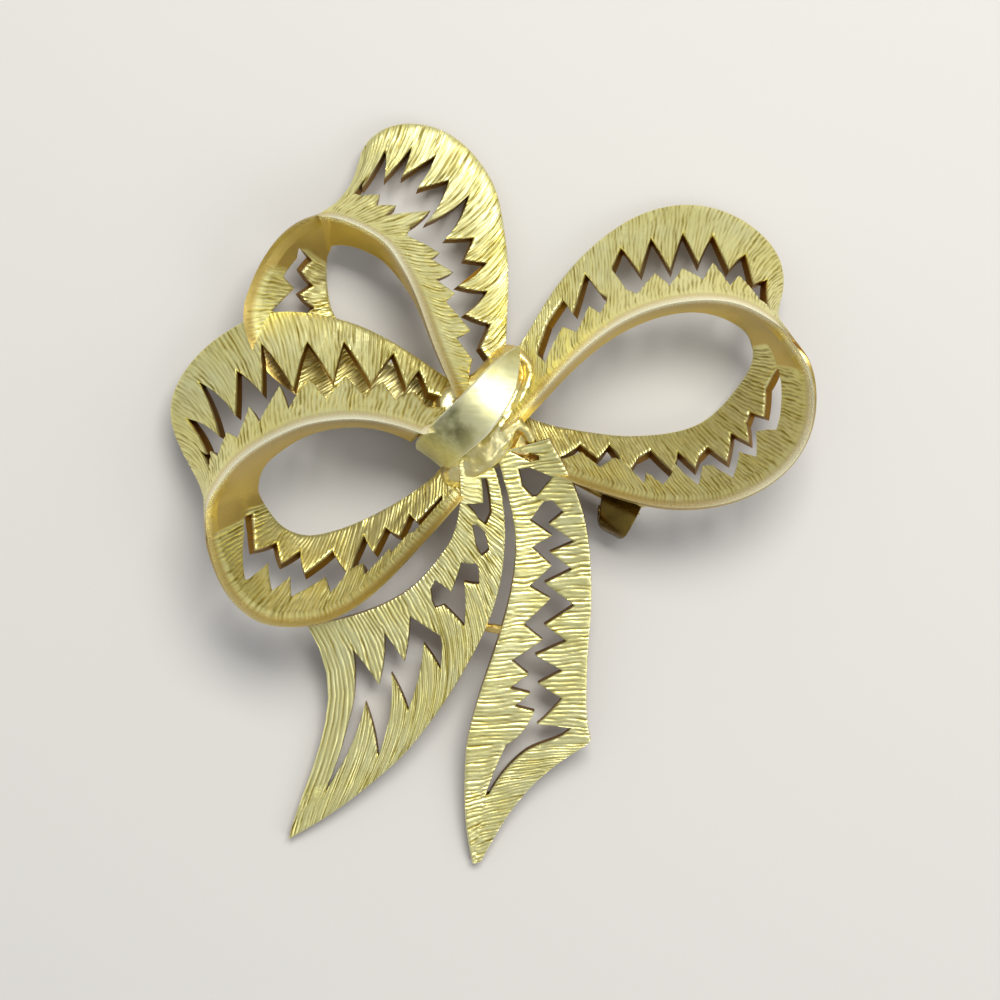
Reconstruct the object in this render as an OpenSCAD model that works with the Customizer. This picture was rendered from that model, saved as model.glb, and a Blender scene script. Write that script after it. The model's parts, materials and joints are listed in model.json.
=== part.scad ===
// Bow brooch: one cast, pierced ribbon bow with a knot band, a hinged pin and a catch.
// Seen from the front with +Y up and +Z away from the back plane. All sizes in mm.
// Each ribbon is a ruled sheet. A row of its table places one ruling, from rim to edge.

/* [Ribbon] */
// Nominal width of the ribbon, the unit of the offsets in the loop tables
ribbon_w = 9.6; // [9:0.1:10.2]
// Thickness of the cast ribbon
wall = 1.1; // [0.9:0.05:1.3]
// Width of the smooth crown that runs along each rim
crown = 0.5; // [0.4:0.05:0.7]
// Hollow across each band, as a percentage of its width
hollow = 4; // [0:1:6]

/* [Right loop] */
// Reach of the right loop's rim from the knot
right_reach = 29; // [28:0.5:30]
// Rise of the right loop's rim in the plan
right_rise = 18; // [17:0.5:19]
// Height of the right loop's rim over the back
right_height = 8.6; // [8.2:0.1:9.2]

/* [Left loop] */
// Reach of the left loop's rim from the knot
left_reach = 23; // [22:0.5:24]
// Fall of the left loop's rim in the plan
left_rise = 18.5; // [18:0.5:19.5]
// Height of the left loop's rim over the back
left_height = 10.4; // [10:0.1:11]

/* [Upper loop] */
// Reach of the upper loop's rim from the knot
upper_reach = 20; // [19:0.5:21]
// Rise of the upper loop's rim in the plan
upper_rise = 17; // [16.5:0.5:17.5]
// Height of the upper loop's rim over the back
upper_height = 7.2; // [7:0.1:7.6]

/* [Tails] */
// Sideways reach of the left tail
left_tail_reach = 17; // [16:0.5:18]
// Drop of the left tail below the knot
left_tail_drop = 38; // [36:0.5:39]
// Width of the right tail
right_tail_reach = 10; // [9.5:0.25:10.5]
// Drop of the right tail below the knot
right_tail_drop = 40; // [39:0.5:42]
// Height of both tails at the knot
tail_height = 7; // [6.8:0.1:7.4]

/* [Knot band] */
// Outer radius of the arched band
band_r = 6.4; // [6.2:0.1:6.8]
// Thickness of the band
band_t = 1; // [0.8:0.05:1.1]
// Width of the band at its widest
band_w = 4.2; // [3.6:0.1:4.6]
// Direction of the band's long way in the plan, in degrees
band_turn = 52.3; // [46:0.1:58]
// Height of the arch's centre line
band_z = 4.5; // [4.2:0.1:4.8]

/* [Pin] */
// Hinge place sideways from the knot's centre
hinge_x = -0.4; // [-0.6:0.1:-0.2]
// Hinge place along the height from the knot's centre
hinge_y = -0.8; // [-1:0.1:-0.6]
// Catch place to the right of the knot's centre
catch_x = 12.9; // [12.6:0.1:13.2]
// Catch place below the knot's centre
catch_y = -7.9; // [-8.1:0.1:-7.7]
// Height of the pin over the back plane
pin_z = 2; // [1.9:0.05:2.2]
// Radius of the pin stem
pin_r = 0.4; // [0.3:0.05:0.4]
// Length of the ground point
point_len = 2.4; // [1.6:0.1:3]
// How far the point passes the catch
pin_over = 1.9; // [1.6:0.1:2.4]

/* [Hinge] */
// Radius of the hinge rivet
rivet_r = 0.4; // [0.35:0.05:0.45]
// Radius of the pin's eye
eye_r = 1; // [0.9:0.05:1.05]
// Width of the pin's eye
eye_w = 1.4; // [1.2:0.1:1.6]
// Thickness of each ear
ear_t = 0.6; // [0.5:0.05:0.8]

/* [Catch] */
// Outer radius of the catch's curl
catch_r = 2; // [1.95:0.05:2.1]
// Thickness of the catch strip
catch_t = 0.6; // [0.5:0.05:0.6]
// Width of the catch strip at its root
catch_w = 3.6; // [3.2:0.1:3.8]

/* [Fits] */
// Radial clearance of the pin's eye and the ears round the rivet
bore_gap = 0.05; // [0.03:0.01:0.08]
// Side clearance of the eye between the ears
side_gap = 0.1; // [0.08:0.01:0.15]
// Gap at every seat of one piece on another
seat_gap = 0.05; // [0.03:0.01:0.08]
// Gap round the knot band
band_gap = 0.15; // [0.1:0.01:0.2]

/* [Hidden] */
// Right loop. Rim places are shares of reach, rise and height.
// In, out and their drops are offsets from the rim in shares of the ribbon width.
// Columns: rim_x, rim_y, rim_h, in_x, in_y, in_drop, out_x, out_y, out_drop, out_bow
right_rows = [
  [7.5, -7.5, 84, 5, -3, 12, 5, 52, 30, 0],
  [14, 1, 88, 3, -2, 14, 3, 60, 38, 0],
  [25, 22, 93, 3, -4, 17, -2, 74, 54, 0],
  [37.5, 40, 97, 2, -5, 19, -1, 84, 67, 0],
  [50, 50.5, 99, 3, -5, 21, 5, 94, 78, 0],
  [63, 55, 100, 2, -5, 23, 13, 94, 83, 2],
  [73, 54.5, 100, -2, -8, 27, 26, 81, 82, 5],
  [80, 51.5, 100, -6, -9, 35, 37, 56, 76, 5],
  [85.5, 46.5, 100, -10, -6, 46, 24, 32, 57, 3],
  [90.5, 40, 100, -17, -2, 56, -10, 11, 27, 0],
  [94.5, 31, 100, -25, 2, 63],
  [98.5, 20.5, 100, -37, 10, 69],
  [99.5, 7, 100, -47, 21, 73],
  [98.5, -7.5, 100, -55, 34, 75],
  [94, -22, 100, -56, 44, 75],
  [86, -33.5, 100, -50, 51, 73],
  [76, -41, 100, -45, 57, 71],
  [65.5, -44, 99, -39, 60, 67],
  [55, -43.5, 97, -33, 58, 59],
  [44.5, -39.5, 92, -28, 54, 49],
  [34.5, -33.5, 84, -24, 47, 37],
  [26, -28, 74, -21, 42, 26],
  [18.5, -22.5, 67, -18, 41, 18],
  [12, -16.5, 62, -13, 41, 10]
];

// Left loop, with the same columns
left_rows = [
  [-12.5, -13, 85, -4, -10, 15, 29, 36, 33, 0],
  [-27, -4.5, 91, -5, -4, 19, 20, 51, 45, 0],
  [-43.5, -0.5, 96, -3, -5, 23, 1, 82, 54, -2],
  [-60.5, -3, 99, 1, -6, 29, -21, 99, 64, -4],
  [-69, -7, 100, 2, -7, 33, -30.5, 103.5, 70, -5],
  [-77, -12, 100, 5, -8, 39, -41.5, 99.5, 75, -7],
  [-84.5, -18, 100, 10, -6, 46, -51, 90.5, 79, -9],
  [-90.5, -25, 100, 17, -4, 54, -59, 74, 81, -9],
  [-94.5, -32.5, 99, 24, 0, 60, -53, 58, 76, -8],
  [-98, -40, 98, 31, 6, 66, -27, 40, 60, -5],
  [-98.5, -48, 97, 36, 12, 69, -1, 20, 34, 0],
  [-98, -56, 96, 39, 21, 71],
  [-96.5, -64.5, 95, 41, 29, 72],
  [-94, -74, 94, 42, 39, 72],
  [-90, -83.5, 93, 42, 51, 71],
  [-83.5, -92, 92, 39, 63, 69],
  [-75, -97, 91, 35, 72, 67],
  [-56, -96.5, 89, 23, 81, 59],
  [-38.5, -82.5, 86, 15, 71, 50],
  [-22.5, -61, 76, 7, 48, 33],
  [-8.5, -41, 62, -2, 32, 17],
  [-3, -33, 54, -5, 31, 8]
];

// Upper loop, with the same columns
upper_rows = [
  [-5.5, 8.5, 100, 0, -1, 15, 35, 18, 27, -6],
  [-16, 35.5, 97, -1, -1, 17, 60, 24, 38, -15],
  [-23, 61.5, 94, -2, -2, 19, 77, 31, 48, -19],
  [-33.5, 82, 92, -5, -8, 19, 91, 47, 57, -19],
  [-39.5, 89.5, 90, -5, -11, 20, 97, 62, 60, -17],
  [-51.5, 97.5, 89, -4, -14, 24, 84, 95, 61, -12],
  [-60.5, 100.5, 88, -3, -18, 31, 48, 95.5, 58, -8],
  [-63, 101, 87, -2, -20, 34, 30, 71, 47, -5],
  [-65, 100.5, 86, 0, -22, 37, 27, 38, 34, -2],
  [-67.5, 100, 85, 2, -24, 39, 17, 5, 16, 0],
  [-72, 98, 84, 9, -25, 41],
  [-80.5, 93, 82, 26, -20, 43],
  [-90.5, 80, 78, 46, -13, 45],
  [-97.5, 59, 69, 64, 0, 40],
  [-99, 47.5, 64, 72, 9, 35],
  [-95.5, 33.5, 59, 73, 21, 30],
  [-86, 19, 58, 67, 33, 25],
  [-68.5, 6.5, 59, 54, 40, 20],
  [-46.5, -3, 64, 40, 39, 17],
  [-21.5, -9.5, 69, 27, 34, 15]
];

// Left tail, upper edge to lower edge, in shares of reach, drop and height.
// Columns: near_x, near_y, near_h, far_x, far_y, far_h, near_bow, far_bow
left_tail_rows = [
  [-9, 11, 100, 5.5, 8.5, 90, 0, 0],
  [-8, 15, 97, 11.5, 15, 84, 0, 0],
  [-7.5, 18.5, 92, 14.5, 22.5, 76, 0, 0],
  [-8, 21.5, 86, 15, 30, 69, 0, 0],
  [-9, 25, 79, 13, 38.5, 62, 2, 2],
  [-12, 29, 72, 8, 46.5, 56, 4, 4],
  [-17, 32, 66, 0.5, 54, 50, 7, 7],
  [-23.5, 36, 60, -9.5, 62, 44, 10, 10],
  [-32.5, 40, 56, -22, 70.5, 39, 15, 15],
  [-43, 43, 53, -36.5, 79, 31, 19, 19],
  [-55.5, 45.5, 50, -54.5, 86, 24, 23, 23],
  [-70.5, 47.5, 47, -75.5, 93.5, 16, 31, 20],
  [-87, 49, 46, -98.5, 99.5, 8, 37, 7]
];

// Right tail, left edge to right edge, with the same columns
right_tail_rows = [
  [19, 8.5, 91, 63.5, 5.5, 102, 0, 0],
  [24.5, 13.5, 89, 79, 12, 100, 0, 0],
  [30.5, 19, 86, 89, 17.5, 93, 0, 0],
  [35.5, 25.5, 81, 96, 23.5, 83, 0, 0],
  [35.5, 32, 77, 99.5, 30, 74, 0, 0],
  [31.5, 38.5, 71, 101, 37, 66, 0, 0],
  [25, 45, 66, 101, 43.5, 58, 0, 0],
  [17, 51.5, 59, 98.5, 50, 53, 0, 0],
  [7, 58.5, 51, 97.5, 57, 47, 0, 0],
  [-1.5, 65.5, 43, 97, 65, 44, 0, 0],
  [-6.5, 71, 37, 99.5, 70.5, 41, 0, 0],
  [-8, 73, 35, 103, 72, 40, 0, 0],
  [-9, 76, 32, 93, 73.5, 38, 0, 0],
  [-10, 83, 24, 60, 79, 30, 0, 0],
  [-9.5, 91.5, 16, 28.5, 88, 19, 0, 0],
  [-3, 100, 8, 4, 99.5, 8, 0, 0]
];

// Zigzag cuts. Each cut lists its rim side, then its other side.
// Columns: at (row number), across (percent of the way from the rim)
right_outer_cuts = [
  [
    [[1.4, 50], [1.65, 20], [1.85, 32], [2.1, 43], [2.45, 15], [2.75, 35], [3, 14], [3.15, 24]],
    [[1.4, 56], [1.7, 75], [2.15, 77], [2.35, 47], [2.7, 79], [3, 41], [3.15, 30]]
  ],
  [
    [[3.3, 57], [3.6, 24], [3.85, 12], [4, 19], [4.25, 30], [4.6, 10], [4.9, 29], [5.45, 14],
      [5.7, 38], [6.3, 11], [6.55, 32], [7.6, 10], [8.2, 13]],
    [[3.3, 62], [3.5, 77], [3.9, 37], [4.15, 72], [4.6, 30], [4.85, 71], [5.3, 35], [5.55, 72],
      [6.2, 35], [6.5, 67], [7.15, 33], [7.5, 63], [8.2, 18]]
  ]
];
right_inner_cuts = [
  [
    [[11.1, 48], [13.5, 27], [13.65, 38], [13.9, 48], [14.6, 24], [14.8, 43], [15.6, 15],
      [15.75, 43], [16, 47], [16.6, 18], [16.75, 50]],
    [[11.1, 54], [11.5, 62], [12.2, 67], [13.3, 52], [13.4, 70], [13.8, 66], [14.35, 46],
      [14.45, 70], [14.8, 59], [15.3, 42], [15.4, 70], [15.85, 62], [16.25, 47], [16.35, 75],
      [16.6, 62], [16.75, 56]]
  ],
  [
    [[17, 44], [17.6, 22], [17.85, 43], [18.2, 20], [18.3, 42]],
    [[17, 48], [17.2, 80], [17.75, 70], [18.3, 47]]
  ],
  [
    [[18.45, 60], [18.7, 61], [19.4, 33], [19.8, 56], [20.8, 18]],
    [[18.45, 66], [18.55, 86], [19.25, 54], [19.65, 75], [20.8, 24]]
  ]
];
left_outer_cuts = [
  [
    [[0.25, 58], [0.65, 35], [1, 49], [1.3, 23], [1.6, 43], [1.9, 16], [2.3, 38], [2.7, 11],
      [3.1, 35], [3.9, 9], [4.15, 34], [5.2, 11], [5.5, 30], [6.25, 10], [6.7, 24], [7.5, 14],
      [7.8, 30], [8.4, 18]],
    [[0.25, 74], [0.75, 62], [1.05, 86], [1.15, 50], [1.5, 88], [1.8, 35], [2.3, 78], [2.55, 32],
      [3, 72], [3.65, 27], [4.35, 78], [4.9, 35], [5.45, 67], [6.15, 32], [6.55, 84], [7.1, 29],
      [7.7, 80], [8.15, 38], [8.3, 55], [8.4, 24]]
  ]
];
left_inner_cuts = [
  [
    [[10.9, 58], [12, 47], [14, 14], [14.1, 18], [14.3, 52], [15.3, 25], [15.65, 48], [16.05, 23],
      [16.7, 44], [17, 20], [17.2, 36]],
    [[10.9, 76], [12.15, 66], [13.25, 52], [13.85, 80], [14.9, 61], [15.4, 82], [16.05, 54],
      [16.6, 77], [17.2, 42]]
  ],
  [
    [[17.3, 43], [17.6, 41], [17.75, 19], [18.3, 30], [18.4, 18], [18.8, 23], [19, 10], [19.8, 14]],
    [[17.3, 60], [17.4, 81], [17.8, 49], [18, 75], [18.5, 41], [18.7, 67], [19, 33], [19.8, 30]]
  ]
];
upper_outer_cuts = [
  [
    [[0.25, 6], [0.75, 30], [1.2, 15], [1.35, 37], [1.95, 16], [2.15, 29], [2.45, 15], [2.6, 35],
      [3, 20], [3.15, 30], [3.95, 13], [4.25, 22], [4.4, 44], [4.85, 15], [4.95, 28], [5.3, 19],
      [5.5, 30], [6, 24], [6.5, 26]],
    [[0.25, 25], [0.5, 65], [0.95, 48], [1.3, 68], [1.7, 35], [1.95, 68], [2.3, 35], [2.45, 73],
      [2.8, 51], [3.15, 66], [3.55, 41], [4.1, 78], [4.2, 34], [4.6, 73], [4.95, 51], [5.05, 82],
      [5.4, 53], [5.55, 81], [5.75, 47], [6.15, 78], [6.3, 36], [6.4, 50], [6.5, 32]]
  ]
];
upper_inner_cuts = [
  [
    [[11.2, 22], [11.6, 32], [12.3, 23], [12.6, 46], [13.5, 18], [13.9, 40]],
    [[11.2, 40], [11.4, 67], [12, 54], [12.4, 78], [12.8, 58], [13.4, 78], [13.9, 60]]
  ]
];
left_tail_cuts = [
  [
    [[0.95, 56], [1.95, 52], [2.4, 12], [2.6, 30], [2.8, 44]],
    [[0.95, 72], [2.2, 71], [2.8, 58]]
  ],
  [
    [[3.1, 38], [3.3, 28], [4, 40], [4.1, 46]],
    [[3.1, 55], [3.6, 68], [4.1, 54]]
  ],
  [
    [[4.6, 46], [5.3, 24], [6.6, 29], [7, 9], [7.4, 11], [7.6, 18]],
    [[4.6, 52], [5, 61], [5.75, 38], [6.5, 65], [7.2, 29], [7.6, 24]]
  ],
  [
    [[7.8, 43], [8.7, 14], [9.5, 35], [9.85, 14], [10.5, 38], [11.05, 15], [11.2, 28], [11.4, 52],
      [11.45, 78]],
    [[7.8, 50], [8, 65], [8.6, 35], [9.45, 66], [10.05, 36], [10.2, 82], [10.95, 43], [11.2, 66],
      [11.45, 84]]
  ]
];
right_tail_cuts = [
  [
    [[0.1, 26], [0.6, 50]],
    [[0.1, 40], [0.45, 70], [0.6, 66]]
  ],
  [
    [[0.8, 27], [1.45, 24], [1.9, 34]],
    [[0.8, 45], [1.25, 75], [1.9, 40]]
  ],
  [
    [[2.1, 49], [2.7, 23], [3.3, 51], [3.6, 22], [4.3, 49], [4.9, 22], [5.4, 51], [6.2, 24],
      [6.8, 50], [7.4, 22], [7.9, 43], [8.3, 27], [8.5, 48], [8.9, 35], [9.1, 54], [11.2, 32],
      [13.3, 30]],
    [[2.1, 62], [2.55, 73], [2.9, 49], [3.6, 81], [3.85, 47], [4.5, 76], [4.85, 42], [5.7, 81],
      [6.3, 49], [6.9, 77], [7.3, 46], [7.85, 76], [8.2, 54], [8.7, 78], [9.6, 57], [9.8, 86],
      [11.7, 53], [13.3, 35]]
  ]
];

// Outline of the knot band seen from the front.
// Columns: along (share of the arch radius), left and right (shares of the width)
band_rows = [
  [-100, 0, 2],
  [-75, -10, 31],
  [-45, -19, 57],
  [-13, -22, 65],
  [27, -30, 66],
  [48, -35, 60],
  [81, -45, 47],
  [94, -47, 45.5],
  [108, -30, 36]
];

// Lumps of the fused metal under the knot band.
// Columns: x and y from the knot's centre, height, radius
core_rows = [
  [2.9, 4.6, 4.8, 1.6],
  [2.7, 1.9, 5.6, 1.7],
  [2.3, -1.1, 6, 2],
  [0.9, -3.2, 6, 1.9],
  [-1.5, -5.1, 5.6, 1.6],
  [-2.5, -1.4, 6, 1.8],
  [-2.3, 1.2, 5.8, 1.8],
  [0.4, 2.4, 5.8, 1.8]
];
// Pairs of lumps that are joined, as places in the lump table
core_links = [[0, 1], [1, 2], [2, 3], [3, 4], [3, 5], [5, 6], [6, 7], [7, 0], [7, 2]];

pin_turn = atan2(catch_y - hinge_y, catch_x - hinge_x);
pin_len = norm([catch_x - hinge_x, catch_y - hinge_y]);
ear_in = eye_w / 2 + side_gap;
ear_out = ear_in + ear_t;
base_z = pin_z + eye_r + 0.15;
base_t = 0.5;
pad_z = base_z + base_t + seat_gap;
// The curl's centre lies beside and above the pin, so that the pin rests inside it
curl_y = -0.8;
curl_z = pin_z + 0.45;
// Outline of the catch seen from the front, from its root to its rounded end.
// Columns: along the pin (percent of the width), across (percent of the outer radius)
catch_outline = [
  [-55, 110], [-55, 30], [-32, -75], [-22, -93], [-5, -102], [32, -102], [42, -93], [45, -75], [45, 110]
];
// How far the rim stands over the inner band where the ribbon has no outer band
lip = 0.25;
leg_y = curl_y + catch_r - catch_t;
leg_top = 5.9;

// A smooth curve through the neighbourhood of the rows p, at the row number s
function curve(p, s) =
  let (
    n = len(p),
    i = min(floor(s), n - 2),
    t = s - i,
    a = i == 0 ? 2 * p[0] - p[1] : p[i - 1],
    d = i == n - 2 ? 2 * p[n - 1] - p[n - 2] : p[i + 2]
  )
  (pow(1 - t, 3) * a + (3 * pow(t, 3) - 6 * t * t + 4) * p[i]
    + (3 * t * t - 3 * pow(t, 3) + 3 * t + 1) * p[i + 1] + pow(t, 3) * d) / 6;

// The way a curve runs at the row number s
function way(p, s) = curve(p, min(len(p) - 1, s + 0.1)) - curve(p, max(0, s - 0.1));

function unit(v) = v / max(norm(v), 0.0001);

// A band is [near points, far points, sideways bows]. Rows without an outer edge get a lip.
function rims(rows, size) =
  [for (r = rows) [r[0] * size[0], r[1] * size[1], r[2] * size[2]] / 100];
function inner_band(rows, size) =
  let (rim = rims(rows, size))
  [
    rim,
    [for (i = [0:len(rows) - 1]) rim[i] + [rows[i][3], rows[i][4], -rows[i][5]] * ribbon_w / 100],
    [for (r = rows) [0, 0]]
  ];
function outer_band(rows, size) =
  let (rim = rims(rows, size))
  [
    rim,
    [
      for (i = [0:len(rows) - 1])
        let (r = rows[i])
        rim[i] + (len(r) > 6
          ? [r[6], r[7], -r[8]] * ribbon_w / 100
          : [0, 0, -lip])
    ],
    [for (r = rows) (len(r) > 6 ? [r[9], r[9]] : [0, 0]) * ribbon_w / 100]
  ];
function tail_band(rows, size) =
  [
    [for (r = rows) [r[0] * size[0], -r[1] * size[1], r[2] * size[2]] / 100],
    [for (r = rows) [r[3] * size[0], -r[4] * size[1], r[5] * size[2]] / 100],
    [for (r = rows) [r[6], r[7]] * ribbon_w / 100]
  ];

// A loop is [inner band, outer band, inner cuts, outer cuts, facing of the inner band, lips]
function loop(rows, size, inner_cuts, outer_cuts, turn) =
  [inner_band(rows, size), outer_band(rows, size), inner_cuts, outer_cuts, turn,
    [for (r = rows) len(r) > 6 ? 0 : 1]];
loops = [
  loop(right_rows, [right_reach, right_rise, right_height], right_inner_cuts, right_outer_cuts, -1),
  loop(left_rows, [left_reach, left_rise, left_height], left_inner_cuts, left_outer_cuts, 1),
  loop(upper_rows, [upper_reach, upper_rise, upper_height], upper_inner_cuts, upper_outer_cuts, 1)
];
// A tail is [band, cuts]
tails = [
  [tail_band(left_tail_rows, [left_tail_reach, left_tail_drop, tail_height]), left_tail_cuts],
  [tail_band(right_tail_rows, [right_tail_reach, right_tail_drop, tail_height]), right_tail_cuts]
];

// The middle of a band and its front normal, at row number s and share v across
function middle(band, turn, s, v) =
  let (
    a = curve(band[0], s),
    b = curve(band[1], s),
    over = b - a,
    n = unit(cross(way(band[0], s) * (1 - v) + way(band[1], s) * v, over)) * turn,
    side = unit([-over[1], over[0], 0]),
    swell = 4 * v * (1 - v)
  )
  [
    a * (1 - v) + b * v + side * (curve(band[2], s) * [1 - v, v]) * swell
      - n * norm(over) * hollow / 100 * swell,
    n
  ];
function front(band, turn, s, v) =
  let (m = middle(band, turn, s, v)) m[0] + m[1] * wall / 2;
function back(band, turn, s, v) =
  let (m = middle(band, turn, s, v)) m[0] - m[1] * wall / 2;

// Where the two sides of the cuts lie at s, as shares across
function cut_side(cuts, k, s) =
  lookup(s, concat([[0, k == 0 ? 45 : 75]], [for (c = cuts) each c[k]])) / 100;
function cut_far(cuts, s) = max(cut_side(cuts, 1, s), cut_side(cuts, 0, s) + 0.04);
function is_open(cuts, s) =
  max([for (c = cuts) s > c[0][0][0] && s < c[0][len(c[0]) - 1][0] ? 1 : 0]) > 0;

function sorted(v) =
  len(v) < 2 ? v :
  let (m = v[floor(len(v) / 2)])
  concat(sorted([for (x = v) if (x < m) x]), [m], sorted([for (x = v) if (x > m) x]));

// Places along a band: every corner of its cuts, and even steps where the metal is plain
function stations(cuts, last) =
  let (
    corners = sorted([for (c = cuts) for (side = c) for (p = side) p[0]]),
    plain = [for (s = [0.5:0.5:last - 0.5]) if (min([for (c = corners) abs(c - s)]) > 0.24) s]
  )
  sorted(concat([0], corners, plain, [last]));

// One section of a loop: eight points along the front, then seven along the back.
// The two bands meet in a flat crown at the rim. Along a lip, the back is the inner band's.
function loop_section(part, s) =
  let (
    turn = part[4],
    rim = curve(part[0][0], s),
    to_in = curve(part[0][1], s) - rim,
    to_out = curve(part[1][1], s) - rim,
    n_in = middle(part[0], turn, s, 0)[1],
    n_out = middle(part[1], -turn, s, 0)[1],
    peak = (n_in + n_out) / max(1 + n_in * n_out, 0.45) * wall / 2,
    half = crown / 2 / max(0.5, sqrt((1 - unit(to_in) * unit(to_out)) / 2)),
    skip_in = min(0.7, (half + 0.1) / norm(to_in)),
    skip_out = min(0.7, (half + 0.1) / norm(to_out)),
    lipped = curve(part[5], s),
    under = rim - n_in * wall / 2,
    in_v = [for (v = [cut_side(part[2], 0, s), cut_far(part[2], s)]) skip_in + v * (1 - skip_in)],
    out_v = [for (v = [cut_side(part[3], 0, s), cut_far(part[3], s)]) skip_out + v * (1 - skip_out)]
  )
  [
    for (v = [1, out_v[1], out_v[0]]) front(part[1], -turn, s, v),
    rim + peak + unit(to_out) * half,
    rim + peak + unit(to_in) * half,
    for (v = [in_v[0], in_v[1], 1]) front(part[0], turn, s, v),
    for (v = [[1, -0.1], [out_v[1], 0], [out_v[0], 0.1]])
      back(part[1], -turn, s, v[0]) * (1 - lipped) + (under + unit(to_in) * v[1]) * lipped,
    (rim - peak) * (1 - lipped) + (under + unit(to_in) * 0.25) * lipped,
    for (v = [in_v[0], in_v[1], 1]) back(part[0], turn, s, v)
  ];
loop_strips = [
  [0, 1, 0], [1, 2, 1], [2, 3, 0], [3, 4, 0], [4, 5, 0], [5, 6, 2], [6, 7, 0],
  [9, 8, 0], [10, 9, 1], [11, 10, 0], [12, 11, 0], [13, 12, 2], [14, 13, 0],
  [8, 0, 0], [7, 14, 0], [1, 9, -1], [10, 2, -1], [5, 12, -2], [13, 6, -2]
];
loop_caps = [
  [0, 1, 9, 8, 0], [1, 2, 10, 9, 1], [2, 3, 11, 10, 0], [3, 4, 11, 11, 0],
  [4, 5, 12, 11, 0], [5, 6, 13, 12, 2], [6, 7, 14, 13, 0]
];

// One section of a tail: six points along the front, then six along the back
function tail_section(part, s) =
  let (
    near = cut_side(part[1], 0, s),
    far = cut_far(part[1], s),
    across = [0, near / 2, near, far, (1 + far) / 2, 1]
  )
  [
    for (v = across) front(part[0], 1, s, v),
    for (v = across) back(part[0], 1, s, v)
  ];
tail_strips = [
  [0, 1, 0], [1, 2, 0], [2, 3, 1], [3, 4, 0], [4, 5, 0],
  [7, 6, 0], [8, 7, 0], [9, 8, 1], [10, 9, 0], [11, 10, 0],
  [6, 0, 0], [5, 11, 0], [2, 8, -1], [9, 3, -1]
];
tail_caps = [
  [0, 1, 7, 6, 0], [1, 2, 8, 7, 0], [2, 3, 9, 8, 1], [3, 4, 10, 9, 0], [4, 5, 11, 10, 0]
];

function quad(a, b, c, d, turn) =
  [for (f = turn > 0 ? [[a, d, c], [a, c, b]] : [[a, b, c], [a, c, d]])
    if (f[0] != f[1] && f[1] != f[2] && f[0] != f[2]) f];

// Skins a row of sections. Strips join point p to point q along the row, caps close its ends.
// A gate g above 0 leaves a strip out where cut g is open, below 0 keeps it only there.
module skin(sections, strips, caps, open, turn) {
  n = len(sections);
  per = len(sections[0]);
  polyhedron(
    [for (s = sections) each s],
    [
      for (i = [0:n - 2])
        for (t = strips)
          let (k = i * per, m = k + per)
          if (t[2] == 0 || (t[2] > 0 ? !open[i][t[2] - 1] : open[i][-t[2] - 1]))
            each quad(k + t[0], m + t[0], m + t[1], k + t[1], turn),
      for (i = [0:n - 1])
        for (c = caps)
          let (
            k = i * per,
            gated = c[4] > 0 && i > 0 && i < n - 1,
            begins = gated ? open[i - 1][c[4] - 1] && !open[i][c[4] - 1] : i == 0,
            ends = gated ? open[i][c[4] - 1] && !open[i - 1][c[4] - 1] : i == n - 1
          )
          each concat(
            begins ? quad(k + c[0], k + c[1], k + c[2], k + c[3], turn) : [],
            ends ? quad(k + c[0], k + c[3], k + c[2], k + c[1], turn) : []
          )
    ],
    convexity = 10
  );
}

function loop_stops(part) = stations(concat(part[2], part[3]), len(part[0][0]) - 1);
function tail_stops(part) = stations(part[1], len(part[0][0]) - 1);

module ribbon_loop(part) {
  stops = loop_stops(part);
  skin(
    [for (s = stops) loop_section(part, s)],
    loop_strips,
    loop_caps,
    [
      for (i = [0:len(stops) - 2])
        let (s = (stops[i] + stops[i + 1]) / 2)
        [is_open(part[3], s), is_open(part[2], s)]
    ],
    part[4]
  );
}

module ribbon_tail(part) {
  stops = tail_stops(part);
  skin(
    [for (s = stops) tail_section(part, s)],
    tail_strips,
    tail_caps,
    [for (i = [0:len(stops) - 2]) [is_open(part[1], (stops[i] + stops[i + 1]) / 2)]],
    1
  );
}

// Bounds of all ribbons seen from the knot's centre, to centre the part over its base
all_points = concat(
  [for (part = loops) for (s = loop_stops(part)) each loop_section(part, s)],
  [for (part = tails) for (s = tail_stops(part)) each tail_section(part, s)]
);
low = [for (k = [0:2]) min([for (p = all_points) p[k]])];
high = [for (k = [0:2]) max([for (p = all_points) p[k]])];
knot = [-(low[0] + high[0]) / 2, -(low[1] + high[1]) / 2, -low[2]];

// The bow: ribbons, fused metal at the knot and the pads of the findings
module bow() {
  color("gold")
    translate(knot)
      difference() {
        union() {
          for (part = loops)
            ribbon_loop(part);
          for (part = tails)
            ribbon_tail(part);
          for (k = core_links)
            hull() {
              core_lump(core_rows[k[0]]);
              core_lump(core_rows[k[1]]);
            }
          tail_bridge();
          hinge_pad();
          catch_pad();
        }
        band_room();
      }
}

module core_lump(row) {
  translate([row[0], row[1], row[2]])
    sphere(r = row[3], $fn = 14);
}

// The small web that ties the two tails
module tail_bridge() {
  hull() {
    translate(middle(tails[0][0], 1, 5.45, 0.97)[0])
      sphere(r = 0.42, $fn = 10);
    translate(middle(tails[1][0], 1, 6.35, 0.03)[0])
      sphere(r = 0.42, $fn = 10);
  }
}

// Metal between the fused lumps and the flat seat of the hinge bracket
module hinge_pad() {
  hull() {
    pin_place()
      translate([-1.5, -ear_out, pad_z])
        cube([3, 2 * ear_out, 0.4]);
    translate([hinge_x, hinge_y, pad_z + 1.8])
      sphere(r = 1.3, $fn = 12);
  }
}

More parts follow.
